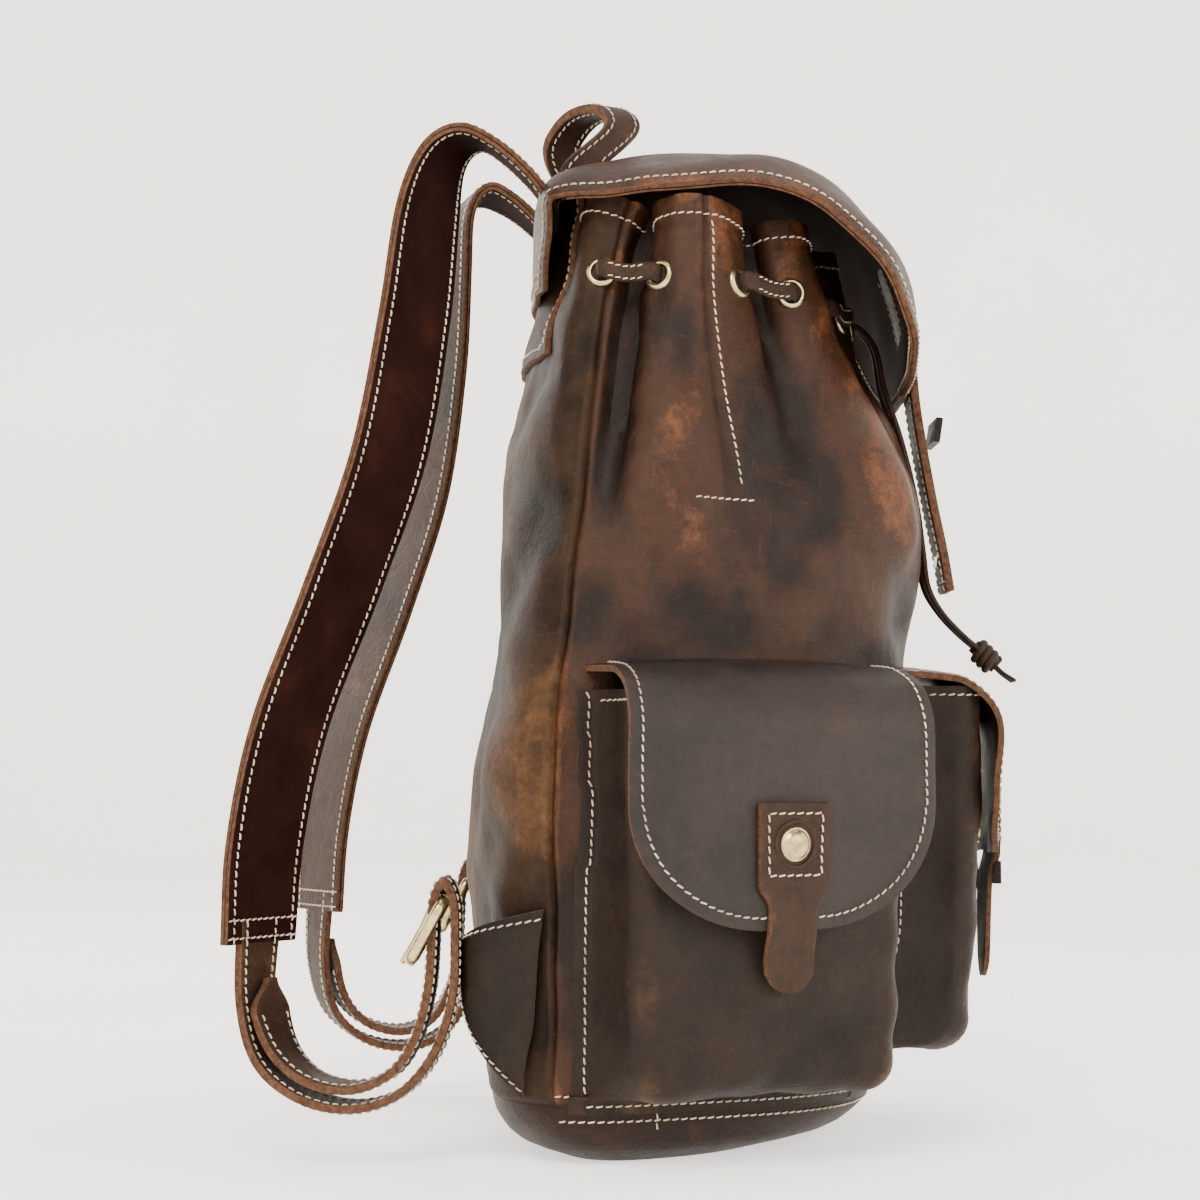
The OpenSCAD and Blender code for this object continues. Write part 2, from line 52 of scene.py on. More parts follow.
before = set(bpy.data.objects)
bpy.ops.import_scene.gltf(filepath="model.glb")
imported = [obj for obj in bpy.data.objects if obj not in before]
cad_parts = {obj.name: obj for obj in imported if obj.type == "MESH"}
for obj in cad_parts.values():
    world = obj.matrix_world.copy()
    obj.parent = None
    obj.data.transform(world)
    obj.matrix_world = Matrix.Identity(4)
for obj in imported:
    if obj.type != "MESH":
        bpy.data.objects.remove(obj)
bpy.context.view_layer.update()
MM = 0.001


# ---- colour and materials ----

def from_hex(text):
    """Turns an sRGB hex colour into linear red, green and blue."""
    values = [int(text[i:i + 2], 16) / 255 for i in (1, 3, 5)]
    return tuple(v / 12.92 if v <= 0.04045 else ((v + 0.055) / 1.055) ** 2.4 for v in values)


def paint(colour):
    """A hex text or three linear values as the four values that a node takes."""
    return (*(from_hex(colour) if isinstance(colour, str) else colour), 1.0)


def add_node(tree, kind, settings=None, inputs=None):
    """Adds one node, sets its properties and fills or links its sockets."""
    made = tree.nodes.new(kind)
    for name, value in (settings or {}).items():
        setattr(made, name, value)
    for name, value in (inputs or {}).items():
        if isinstance(value, bpy.types.NodeSocket):
            tree.links.new(value, made.inputs[name])
        else:
            made.inputs[name].default_value = value
    return made


def new_material(name):
    """Starts a material and returns it with its tree and its shader."""
    material = bpy.data.materials.new(name)
    material.use_nodes = True
    tree = material.node_tree
    tree.nodes.clear()
    shader = add_node(tree, "ShaderNodeBsdfPrincipled")
    add_node(tree, "ShaderNodeOutputMaterial", inputs={"Surface": shader.outputs[0]})
    return material, tree, shader


def ramp(tree, factor, stops, interpolation="LINEAR"):
    """A colour ramp through (place, colour) stops."""
    made = add_node(tree, "ShaderNodeValToRGB", inputs={"Fac": factor})
    made.color_ramp.interpolation = interpolation
    elements = made.color_ramp.elements
    while len(elements) < len(stops):
        elements.new(0.5)
    for element, (place, colour) in zip(elements, stops):
        element.position = place
        element.color = colour
    return made.outputs["Color"]


def noise(tree, where, size_mm, detail=3.0, rough=0.55, distortion=0.0):
    """Noise whose features are size_mm across."""
    made = add_node(tree, "ShaderNodeTexNoise", inputs={
        "Vector": where, "Scale": 1 / (size_mm * MM), "Detail": detail, "Roughness": rough,
        "Distortion": distortion})
    return made.outputs["Fac"]


def maths(tree, operation, a, b=0.0, c=0.0, clamp=False):
    made = add_node(tree, "ShaderNodeMath", {"operation": operation, "use_clamp": clamp}, {0: a, 1: b, 2: c})
    return made.outputs[0]


def mix_colour(tree, factor, a, b, blend="MIX"):
    made = add_node(tree, "ShaderNodeMix", {"data_type": "RGBA", "blend_type": blend},
                    {0: factor, 6: a, 7: b})
    return made.outputs[2]


def bump(tree, height, strength, distance_mm, before=None):
    made = add_node(tree, "ShaderNodeBump", inputs={
        "Height": height, "Strength": strength, "Distance": distance_mm * MM})
    if before is not None:
        tree.links.new(before, made.inputs["Normal"])
    return made.outputs["Normal"]


def pull_up_leather(name, deep, body, rubbed, patch_mm, rub, shine, gloss):
    """Oiled pull-up hide: dark where the wax sits, tan where bending and rubbing have moved it.

    The rubbed patches are patch_mm across, the mottling 11 mm, the creases 8 mm and the pores 1.4 mm.
    """
    material, tree, shader = new_material(name)
    where = add_node(tree, "ShaderNodeTexCoord").outputs["Object"]
    wear = add_node(tree, "ShaderNodeAttribute", {"attribute_name": "wear"}).outputs["Fac"]
    clouds = noise(tree, where, patch_mm, 8.0, 0.66, 0.9)
    mottle = noise(tree, where, 11, 8.0, 0.72, 0.5)
    speck = noise(tree, where, 2.4, 4.0, 0.7)
    mixed = maths(tree, "MULTIPLY_ADD", clouds, 0.85, maths(tree, "MULTIPLY_ADD", mottle, 0.5, -0.25))
    mixed = maths(tree, "MULTIPLY_ADD", speck, 0.22, maths(tree, "ADD", mixed, -0.11))
    mixed = maths(tree, "MULTIPLY_ADD", wear, 0.46, maths(tree, "ADD", mixed, rub - 0.2))
    colour = ramp(tree, mixed, [(0.26, paint(deep)), (0.48, paint(body)), (0.62, paint(body)), (0.9,
            paint(rubbed))])
    lines = []
    for turn, scale in (((0.5, 0.3, 0.9), (1.0, 11.0, 1.8)), ((0.2, 1.1, 0.1), (1.6, 1.2, 12.0))):
        place = add_node(tree, "ShaderNodeMapping",
                         inputs={"Vector": where, "Rotation": turn, "Scale": scale})
        streak = noise(tree, place.outputs[0], 30, 5.0, 0.75, 1.4)
        lines.append(ramp(tree, streak, [(0.62, (0, 0, 0, 1)), (0.65, (1, 1, 1, 1)), (0.68, (0, 0, 0, 1))]))
    scratch = maths(tree, "MULTIPLY", maths(tree, "ADD", lines[0], lines[1], clamp=True), mottle)
    colour = mix_colour(tree, maths(tree, "MULTIPLY", scratch, 0.5), colour, paint(rubbed))
    grime = ramp(tree, noise(tree, where, 5, 6.0, 0.7), [(0.42, (0, 0, 0, 1)), (0.7, (1, 1, 1, 1))])
    colour = mix_colour(tree, maths(tree, "MULTIPLY", grime, 0.5), colour, paint(deep))
    cells = add_node(tree, "ShaderNodeTexVoronoi", {"feature": "DISTANCE_TO_EDGE"}, {
        "Vector": where, "Scale": 1 / (1.4 * MM), "Randomness": 1.0}).outputs["Distance"]
    pores = ramp(tree, cells, [(0.0, (0, 0, 0, 1)), (0.2, (1, 1, 1, 1))])
    creases = noise(tree, where, 8, 7.0, 0.68, 1.0)
    normal = bump(tree, creases, 0.55, 1.3)
    normal = bump(tree, pores, 0.4, 0.2, normal)
    normal = bump(tree, scratch, 0.5, 0.25, normal)
    rough = maths(tree, "MULTIPLY_ADD", mottle, 0.4, 1.0 - shine - 0.2)
    for socket, source in (("Base Color", colour), ("Normal", normal), ("Roughness", rough)):
        tree.links.new(source, shader.inputs[socket])
    shader.inputs["IOR"].default_value = 1.46
    shader.inputs["Specular IOR Level"].default_value = gloss
    return material


def cut_edge():
    """The raw edge of the hide: paler, fibrous and dry."""
    material, tree, shader = new_material("cut_leather_edge")
    where = add_node(tree, "ShaderNodeTexCoord").outputs["Object"]
    fibres = noise(tree, where, 2.2, 4.0, 0.7)
    colour = ramp(tree, fibres, [(0.3, paint("#2c1b12")), (0.7, paint("#5f4230"))])
    tree.links.new(colour, shader.inputs["Base Color"])
    tree.links.new(bump(tree, fibres, 0.4, 0.4), shader.inputs["Normal"])
    shader.inputs["Roughness"].default_value = 0.78
    shader.inputs["Specular IOR Level"].default_value = 0.12
    return material


def split_lining():
    """Dark red-brown suede split inside the straps and lid: matt, with a short nap."""
    material, tree, shader = new_material("split_suede_lining")
    where = add_node(tree, "ShaderNodeTexCoord").outputs["Object"]
    clouds = noise(tree, where, 38, 5.0, 0.65, 0.5)
    nap = noise(tree, where, 1.1, 3.0, 0.6)
    colour = ramp(tree, clouds, [(0.3, paint("#160806")), (0.55, paint("#20100c")), (0.8, paint("#331b14"))])
    colour = mix_colour(tree, maths(tree, "MULTIPLY", nap, 0.3), colour, paint("#1d0b08"))
    tree.links.new(colour, shader.inputs["Base Color"])
    tree.links.new(bump(tree, nap, 0.35, 0.25), shader.inputs["Normal"])
    shader.inputs["Roughness"].default_value = 0.82
    shader.inputs["Specular IOR Level"].default_value = 0.03
    return material


def waxed_thread():
    """Waxed polyester thread: cream, slightly shiny, twisted."""
    material, tree, shader = new_material("waxed_thread")
    where = add_node(tree, "ShaderNodeTexCoord").outputs["Object"]
    dirt = noise(tree, where, 30, 3.0)
    colour = ramp(tree, dirt, [(0.35, paint("#8d7e68")), (0.65, paint("#c9bca6"))])
    tree.links.new(colour, shader.inputs["Base Color"])
    shader.inputs["Roughness"].default_value = 0.55
    return material


def antique_brass():
    """Antique-plated brass: bright where it is rubbed, brown in its hollows."""
    material, tree, shader = new_material("antique_brass")
    where = add_node(tree, "ShaderNodeTexCoord").outputs["Object"]
    tarnish = noise(tree, where, 6, 5.0, 0.65)
    fine = noise(tree, where, 0.8, 3.0)
    colour = ramp(tree, tarnish, [(0.3, paint("#8f7c52")), (0.6, paint("#c9b98a"))])
    tree.links.new(colour, shader.inputs["Base Color"])
    tree.links.new(maths(tree, "MULTIPLY_ADD", tarnish, 0.3, 0.14), shader.inputs["Roughness"])
    tree.links.new(bump(tree, fine, 0.08, 0.1), shader.inputs["Normal"])
    shader.inputs["Metallic"].default_value = 1.0
    return material


def cotton_cloth():
    """Plain-woven cotton lining, threads 0.9 mm apart, drawn as two crossed waves."""
    material, tree, shader = new_material("cotton_lining")
    where = add_node(tree, "ShaderNodeTexCoord").outputs["Object"]
    across = add_node(tree, "ShaderNodeTexWave", {"bands_direction": "Z"}, {"Vector": where, "Scale": 180.0})
    along = add_node(tree, "ShaderNodeTexWave", {"bands_direction": "X"}, {"Vector": where, "Scale": 180.0})
    weave = maths(tree, "MULTIPLY", across.outputs["Fac"], along.outputs["Fac"])
    colour = ramp(tree, noise(tree, where, 60, 3.0), [(0.35, paint("#6e5838")), (0.65, paint("#8d7450"))])
    tree.links.new(colour, shader.inputs["Base Color"])
    tree.links.new(bump(tree, weave, 0.4, 0.3), shader.inputs["Normal"])
    shader.inputs["Roughness"].default_value = 0.9
    shader.inputs["Sheen Weight"].default_value = 0.2
    return material


def shadow_gap():
    """Painted shade: the flat dark colour of the discs that stand in for the shadow inside each eyelet."""
    material, _, shader = new_material("eyelet_hole")
    shader.inputs["Base Color"].default_value = paint("#0d0806")
    shader.inputs["Roughness"].default_value = 0.9
    return material


def fibre_board():
    """Pressed fibre board that stiffens the base."""
    material, tree, shader = new_material("fibre_board")
    where = add_node(tree, "ShaderNodeTexCoord").outputs["Object"]
    specks = noise(tree, where, 2, 5.0, 0.7)
    colour = ramp(tree, specks, [(0.35, paint("#5f4630")), (0.7, paint("#86684a"))])
    tree.links.new(colour, shader.inputs["Base Color"])
    shader.inputs["Roughness"].default_value = 0.85
    return material


def plaster():
    """Pale studio floor and wall: matt, faintly clouded."""
    material, tree, shader = new_material("pale_plaster")
    where = add_node(tree, "ShaderNodeTexCoord").outputs["Object"]
    clouds = noise(tree, where, 420, 5.0, 0.6)
    colour = ramp(tree, clouds, [(0.3, paint("#efebe4")), (0.7, paint("#f6f3ee"))])
    tree.links.new(colour, shader.inputs["Base Color"])
    shader.inputs["Roughness"].default_value = 0.9
    shader.inputs["Specular IOR Level"].default_value = 0.1
    shader.inputs["Emission Color"].default_value = paint("#f3efe9")
    shader.inputs["Emission Strength"].default_value = 1.2
    return material


# finish: its material's name, patch size in mm, how rubbed, how smooth and how glossy it is
HIDES = {
    "hide": ("pull_up_leather", 90, 0.0, 0.54, 0.18),
    # base_hide: darker colours, partly the base's own tone and partly painted shade for the bag's shaded
    # bottom
    "base_hide": ("base_leather", 80, 0.0, 0.5, 0.18),
    "back_hide": ("back_leather", 70, 0.0, 0.42, 0.12),
    "flap_hide": ("flap_leather", 90, -0.06, 0.57, 0.26),
    # pocket_hide: darker colours, partly the leather's own tone and partly painted shade under the flaps and
    # low on the bag
    "pocket_hide": ("pocket_leather", 70, 0.0, 0.48, 0.18),
    "strap_hide": ("strap_leather", 45, 0.02, 0.46, 0.18),
}
FINISH = {}


def millimetres(name):
    """A size from the settings, in whole thousandths of a millimetre."""
    return round(getattr(bpy.context.scene.backpack_sizes, name) / MM, 3)


def finishes():
    """Makes every finish once. The hides differ in how far the wax has moved, and the base and pocket hides
    are also darkened to paint the shade low on the bag and under the flaps.
    """
    if FINISH:
        return
    colours = bpy.context.scene.backpack_colours
    for key, (name, *values) in HIDES.items():
        shades = [tuple(getattr(colours, f"{key}_{shade}")) for shade in ("deep", "body", "rubbed")]
        FINISH[key] = pull_up_leather(name, *shades, *values)
    FINISH["edge"] = cut_edge()
    FINISH["suede"] = split_lining()
    FINISH["thread"] = waxed_thread()
    FINISH["brass"] = antique_brass()
    FINISH["cloth"] = cotton_cloth()
    FINISH["gap"] = shadow_gap()
    FINISH["board"] = fibre_board()


# ---- curves, ripples and meshes ----

def through(points, per_span):
    """Smooth curve through the points, per_span steps between neighbours."""
    p = np.asarray(points, float)
    if p.ndim == 1:
        p = p[:, None]
    p = np.vstack([2 * p[0] - p[1], p, 2 * p[-1] - p[-2]])
    f = np.arange(per_span)[:, None] / per_span
    spans = []
    for a, b, c, d in zip(p[:-3], p[1:-2], p[2:-1], p[3:]):
        spans.append((2 * b + (c - a) * f + (2 * a - 5 * b + 4 * c - d) * f ** 2 + (3 * b - a - 3 * c + d)
                      * f ** 3) / 2)
    return np.vstack(spans + [p[-2:-1]])


def along(curve, at):
    """Points of a polyline at the given lengths from its start, carried straight on past its ends."""
    steps = np.linalg.norm(np.diff(curve, axis=0), axis=1)
    length = np.concatenate([[0], np.cumsum(steps)])
    at = np.asarray(at, float)
    inside = np.clip(at, 0, length[-1])
    found = np.stack([np.interp(inside, length, curve[:, i]) for i in range(curve.shape[1])], -1)
    first = (curve[1] - curve[0]) / steps[0]
    last = (curve[-1] - curve[-2]) / steps[-1]
    return found + np.minimum(at, 0)[..., None] * first + np.maximum(at - length[-1], 0)[..., None] * last


def step_up(x, low, high):
    """Rises smoothly from 0 at low to 1 at high."""
    f = np.clip((np.asarray(x, float) - low) / (high - low), 0, 1)
    return f * f * (3 - 2 * f)


def ripple(points, wave_mm, seed):
    """A soft random swell over space, about -1.5 to 1.5, with waves near wave_mm long."""
    rng = np.random.default_rng(seed)
    total = 0
    count = 9
    for _ in range(count):
        direction = rng.normal(size=3)
        direction /= np.linalg.norm(direction)
        turns = 2 * math.pi / (wave_mm * rng.uniform(0.7, 1.5))
        total = total + np.cos(points @ direction * turns + rng.uniform(0, 2 * math.pi))
    return total / math.sqrt(count / 2)


def unit(v):
    return v / np.maximum(np.linalg.norm(v, axis=-1, keepdims=True), 1e-9)


def grid_normals(grid, wrap=False):
    """Outward direction at each point of a grid whose columns run anticlockwise seen from outside."""
    if wrap:
        across = np.roll(grid, -1, 1) - np.roll(grid, 1, 1)
    else:
        across = np.gradient(grid, axis=1)
    return unit(np.cross(across, np.gradient(grid, axis=0)))


def new_piece(name, points, faces, materials, slots=None, wear=None, body="root", angle=40.0):
    """Makes a mesh piece from millimetre points and rides it on its body."""
    mesh = bpy.data.meshes.new(name)
    mesh.from_pydata((np.asarray(points) * MM).tolist(), [], [list(f) for f in faces])
    for material in materials:
        mesh.materials.append(FINISH[material])
    if slots is not None:
        mesh.polygons.foreach_set("material_index", np.asarray(slots, np.int32))
    if wear is not None:
        attribute = mesh.attributes.new("wear", "FLOAT", "POINT")
        attribute.data.foreach_set("value", np.asarray(wear, np.float32))
    mesh.polygons.foreach_set("use_smooth", np.ones(len(mesh.polygons), bool))
    mesh.update()
    piece = bpy.data.objects.new(name, mesh)
    bpy.context.scene.collection.objects.link(piece)
    if body:
        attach(piece, body)
    if angle:
        sharpen(piece, angle)
    return piece


def sharpen(piece, angle):
    """Keeps edges steeper than angle crisp."""
    mesh = piece.data
    work = bmesh.new()
    work.from_mesh(mesh)
    limit = math.radians(angle)
    for edge in work.edges:
        edge.smooth = not (len(edge.link_faces) == 2 and edge.calc_face_angle(0) > limit)
    work.to_mesh(mesh)
    work.free()


def weld(piece, distance_mm=0.02):
    """Merges doubled points, as at a pole."""
    work = bmesh.new()
    work.from_mesh(piece.data)
    bmesh.ops.remove_doubles(work, verts=work.verts, dist=distance_mm * MM)
    bmesh.ops.dissolve_degenerate(work, edges=work.edges, dist=distance_mm * MM)
    work.to_mesh(piece.data)
    work.free()


def grid_faces(rows, cols, wrap, start, flip):
    r, c = np.meshgrid(np.arange(rows - 1), np.arange(cols if wrap else cols - 1), indexing="ij")
    a = start + r * cols + c
    b = start + r * cols + (c + 1) % cols
    quads = np.stack([a, b, b + cols, a + cols], -1).reshape(-1, 4)
    return quads[:, ::-1] if flip else quads


def sheet_piece(name, outer, thick, materials, body="root", wear=None, wrap=False, replaces=(),
                round_mm=0.5):
    """A piece of leather: a grid of points for its outside, made thick, with its cut edges rounded."""
    outer = np.asarray(outer, float)
    rows, cols = outer.shape[:2]
    inner = outer - grid_normals(outer, wrap) * thick
    count = rows * cols
    points = np.concatenate([outer.reshape(-1, 3), inner.reshape(-1, 3)])
    faces = [grid_faces(rows, cols, wrap, 0, False), grid_faces(rows, cols, wrap, count, True)]
    slots = [np.zeros(len(faces[0])), np.full(len(faces[1]), len(materials) - 1 if len(materials) > 2
                                              else 0)]
    first = np.arange(cols if wrap else cols - 1)
    after = (first + 1) % cols
    last = (rows - 1) * cols
    rims = [np.stack([first, first + count, after + count, after], -1),
            np.stack([last + after, last + after + count, last + first + count, last + first], -1)]
    if not wrap:
        down = np.arange(rows - 1) * cols
        right = down + cols - 1
        rims.append(np.stack([down + cols, down + cols + count, down + count, down], -1))
        rims.append(np.stack([right, right + count, right + cols + count, right + cols], -1))
    rim = np.concatenate(rims)
    faces = np.concatenate(faces + [rim])
    slots = np.concatenate(slots + [np.full(len(rim), min(1, len(materials) - 1))])
    if wear is None:
        wear = np.full((rows, cols), 0.5)
    piece = new_piece(name, points, faces, materials, slots, np.concatenate([wear.ravel(), wear.ravel()]),
                      body, None)
    if replaces:
        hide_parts(*replaces)
    if round_mm:
        round_edges(piece, round_mm)
    sharpen(piece, 50)
    return piece


def round_edges(piece, width_mm, angle=50.0, segments=2):
    bevel = piece.modifiers.new("rounded cut edge", "BEVEL")
    bevel.width = width_mm * MM
    bevel.segments = segments
    bevel.limit_method = "ANGLE"
    bevel.angle_limit = math.radians(angle)
    bevel.use_clamp_overlap = True
    apply_modifiers(piece)


def apply_modifiers(piece):
    """Applies every modifier on the piece."""
    for other in bpy.context.selected_objects:
        other.select_set(False)
    bpy.context.view_layer.objects.active = piece
    piece.select_set(True)
    for modifier in list(piece.modifiers):
        bpy.ops.object.modifier_apply(modifier=modifier.name)
    piece.select_set(False)


def tube_piece(name, path, radius, materials, body="root", sides=12, loop=False, flat=1.0, across=None,
               replaces=()):
    """A round or flattened tube along a path. flat is its thickness as a share of its width across."""
    points, faces = tube_mesh(path, radius, sides, loop, flat, across)
    piece = new_piece(name, points, faces, materials, None, np.full(len(points), 0.5), body, 60)
    if replaces:
        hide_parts(*replaces)
    return piece


def tube_mesh(path, radius, sides, loop=False, flat=1.0, across=None):
    path = np.asarray(path, float)
    n = len(path)
    radius = np.broadcast_to(np.asarray(radius, float), (n,))
    if loop:
        tangent = unit(np.roll(path, -1, 0) - np.roll(path, 1, 0))
    else:
        tangent = unit(np.gradient(path, axis=0))
    guide = np.array([0.13, 0.11, 1.0]) if across is None else np.asarray(across, float)
    wide = unit(np.broadcast_to(guide, path.shape) - (tangent * guide).sum(-1, keepdims=True) * tangent)
    thin = np.cross(tangent, wide)
    turn = np.arange(sides) * 2 * math.pi / sides
    ring = (path[:, None] + radius[:, None, None] * (wide[:, None] * np.cos(turn)[None, :, None]
            + thin[:, None] * np.sin(turn)[None, :, None] * flat))
    points = ring.reshape(-1, 3)
    spans = n if loop else n - 1
    i, j = np.meshgrid(np.arange(spans), np.arange(sides), indexing="ij")
    a = i * sides + j
    b = i * sides + (j + 1) % sides
    c = ((i + 1) % n) * sides + (j + 1) % sides
    d = ((i + 1) % n) * sides + j
    faces = [list(f) for f in np.stack([a, b, c, d], -1).reshape(-1, 4)]
    if not loop:
        faces.append(list(range(sides - 1, -1, -1)))
        faces.append([(n - 1) * sides + k for k in range(sides)])
    return points, faces


def frame_at(normal):
    """Two directions across a normal: level and upward."""
    level = unit(np.cross(np.array([0.0, 0.0, 1.0]), normal))
    return level, np.cross(normal, level)


def turned_mesh(profile, centre, normal, steps=40):
    """A lathe-turned shape: (radius, height) points swept round a normal. Radius 0 closes a pole."""
    level, up = frame_at(np.asarray(normal, float))
    turn = np.arange(steps) * 2 * math.pi / steps
    rings = [np.asarray(centre) + r * (np.cos(turn)[:, None] * level + np.sin(turn)[:, None] * up) + h
             * np.asarray(normal)
             for r, h in profile]
    points = np.concatenate(rings)
    return points, [list(f) for f in grid_faces(len(profile), steps, True, 0, True)]


def join_meshes(parts):
    """Joins (points, faces) meshes into one."""
    points, faces, start = [], [], 0
    for p, f in parts:
        points.append(p)
        faces.extend([[v + start for v in face] for face in f])
        start += len(p)
    return np.concatenate(points), faces


# a thread is six-sided and has five rings: their place along it, lift and width
STITCH_SIDES = 6
STITCH_AT = np.array([-0.5, -0.4, 0.0, 0.4, 0.5])
STITCH_LIFT = np.array([-0.35, 0.16, 0.34, 0.16, -0.35])
STITCH_WIDE = np.array([0.55, 0.95, 1.0, 0.95, 0.55])


def stitch_row(name, lines, body, pitch=4.0, share=0.72, radius=0.4):
    """Rows of stitches as real short threads lying in the leather. Each line is its points and normals."""
    parts = []
    for points, normals in lines:
        steps = np.linalg.norm(np.diff(points, axis=0), axis=1)
        length = np.concatenate([[0], np.cumsum(steps)])
        count = max(1, int(round(length[-1] / pitch)))
        real = length[-1] / count
        at = (np.arange(count) + 0.5) * real
        offsets = at[:, None] + STITCH_AT[None] * real * share
        centre = np.stack([np.interp(offsets, length, points[:, i]) for i in range(3)], -1)
        normal = unit(np.stack([np.interp(at, length, normals[:, i]) for i in range(3)], -1))[:, None]
        tangent = unit(centre[:, -1] - centre[:, 0])[:, None]
        side = np.cross(normal, tangent)
        slant = STITCH_AT[None, :, None] * side * 0.5
        centre = centre + slant + normal * (STITCH_LIFT * radius * 2)[None, :, None]
        turn = np.arange(STITCH_SIDES) * 2 * math.pi / STITCH_SIDES
        ring = centre[:, :, None] + (STITCH_WIDE * radius)[None, :, None, None] * (
            side[:, :, None] * np.cos(turn)[None, None, :, None] + normal[:, :, None]
            * np.sin(turn)[None, None, :, None])
        parts.append(ring.reshape(-1, 3))
    size = len(STITCH_AT) * STITCH_SIDES
    total = sum(len(p) for p in parts) // size
    one = list(grid_faces(len(STITCH_AT), STITCH_SIDES, True, 0, True))
    caps = [list(range(STITCH_SIDES)), list(range(size - 1, size - 1 - STITCH_SIDES, -1))]
    faces = [[v + k * size for v in f] for k in range(total) for f in one + caps]
    return new_piece(name, np.concatenate(parts), faces, ["thread"], None, None, body, None)


def mirrored(grid):
    """The same grid on the bag's other side, still facing outward."""
    grid = np.array(grid, float)
    grid[..., 0] *= -1
    return grid[:, ::-1]


def mirrored_line(line):
    points, normals = line
    flip = np.array([-1.0, 1.0, 1.0])
    return points * flip, normals * flip


# ---- the bag's body ----

# height, half width, back, front, squareness of the outline
STATIONS = np.array([
    [0, 102, 70, -30, 2.6], [5, 113, 83, -52, 2.8], [13, 119, 91, -66, 3.0], [24, 122, 95, -74, 3.1],
    [60, 126, 98, -85, 3.2], [110, 127, 99, -90, 3.2], [160, 127, 98, -91, 3.2], [200, 125, 96, -91, 3.1],
    [240, 122, 93, -95, 3.0], [275, 118, 89, -93, 2.8], [305, 112, 85, -83, 2.6], [335, 106, 79, -71, 2.4],
    [360, 101, 73, -62, 2.3], [382, 97, 66, -56, 2.2], [400, 94, 60, -51, 2.1]], float)
TAPER = [(0, 0.3), (160, 0.35), (300, 0.25), (400, 0.1)]
PLEAT_DEPTH = [(240, 0), (275, 0.014), (305, 0.04), (335, 0.07), (360, 0.098), (400, 0.135)]
TILT = [(305, 0), (400, 0.12)]
PLEATS = 8
SEAMS = (30, 150)
DARTS = (181.5, 358.5)
MOUTH_Z = 400
BASE_Z = 24


def table(x, rows):
    return np.interp(x, [r[0] for r in rows], [r[1] for r in rows])


def station(z, column):
    """A station value at height z, on a smooth curve through the stations."""
    xs, ys = STATIONS[:, 0], STATIONS[:, column]
    slopes = np.gradient(ys, xs)
    i = np.clip(np.searchsorted(xs, z, side="right") - 1, 0, len(xs) - 2)
    h = xs[i + 1] - xs[i]
    f = (z - xs[i]) / h
    return ((2 * f ** 3 - 3 * f ** 2 + 1) * ys[i] + (f ** 3 - 2 * f ** 2 + f) * h * slopes[i]
            + (3 * f ** 2 - 2 * f ** 3) * ys[i + 1] + (f ** 3 - f ** 2) * h * slopes[i + 1])


def signed_power(v, n):
    return np.sign(v) * np.abs(v) ** (2 / n)


def crest_of(t):
    """1 on the crest of a pleat and -1 in the fold between two."""
    return 2 * np.abs(np.cos(np.radians(PLEATS * t / 2))) ** 0.8 - 1


def slack_of(t):
    """How freely the mouth gathers: not at all under the back yoke."""
    return np.minimum(1, 3 * (1 - np.sin(np.radians(t))))


def bare_skin(t, z):
    """The bag's outside at angle t and height z, before its seams and creases."""
    n = station(z, 4)
    back, front = station(z, 2), station(z, 3)
    c = signed_power(np.cos(np.radians(t)), n)
    s = signed_power(np.sin(np.radians(t)), n)
    swell = 1 + table(z, PLEAT_DEPTH) * slack_of(t) * crest_of(t)
    x = station(z, 1) * (1 + table(z, TAPER) * s) * c * swell
    y = (back + front) / 2 + (back - front) / 2 * s * swell
    drop = 6 * step_up(z, 345, 400) * (1 - crest_of(t)) / 2 * slack_of(t)
    return np.stack([x, y, z + table(z, TILT) * y - drop], -1)


def near_angle(t, centre):
    """Signed degrees from an angle."""
    return (t - centre + 180) % 360 - 180


def creases(t, z, points):
    """How far the leather stands out from its bare shape, in millimetres."""
    loose = step_up(z, 8, 60)
    out = (2.1 * ripple(points, 95, 1) + 0.9 * ripple(points, 38, 2) + 0.22 * ripple(points, 19, 3)) * loose
    fold = (t % (360 / PLEATS)) - 180 / PLEATS
    number = np.floor(t / (360 / PLEATS))
    reach = 30 * np.cos(number * 2.3)
    depth = table(z + reach, [(205, 0), (250, 1.6), (300, 4.2), (345, 4.5), (400, 2.0)])
    width = table(z, [(200, 11), (300, 6.5), (400, 4)])
    out = out - depth * np.exp(-(fold / width) ** 2) * slack_of(t)
    half_fold = (t % (180 / PLEATS)) - 90 / PLEATS
    out = out - table(z, [(280, 0), (330, 0.7), (400, 0.9)]) * np.exp(-(half_fold / 3.0) ** 2) * slack_of(t)
    for seam in SEAMS:
        d = near_angle(t, seam) * 2.0
        out = out - 1.5 * np.exp(-(d / 1.6) ** 2) * loose + 0.6 * np.exp(-((np.abs(d) - 4.5)
                / 2.4) ** 2) * loose
    for dart in DARTS:
        d = near_angle(t, dart) * 2.0
        ends = step_up(z, 268, 278)
        out = out - 1.4 * np.exp(-(d / 1.4) ** 2) * ends + 0.5 * np.exp(-((np.abs(d) - 4) / 2.2) ** 2) * ends
    ring = z - BASE_Z
    out = out - 1.3 * np.exp(-(ring / 1.5) ** 2) + 0.5 * np.exp(-((ring - 4.5) / 2.4) ** 2)
    hem = z - (MOUTH_Z - 11)
    return out - 0.6 * np.exp(-(hem / 1.4) ** 2)


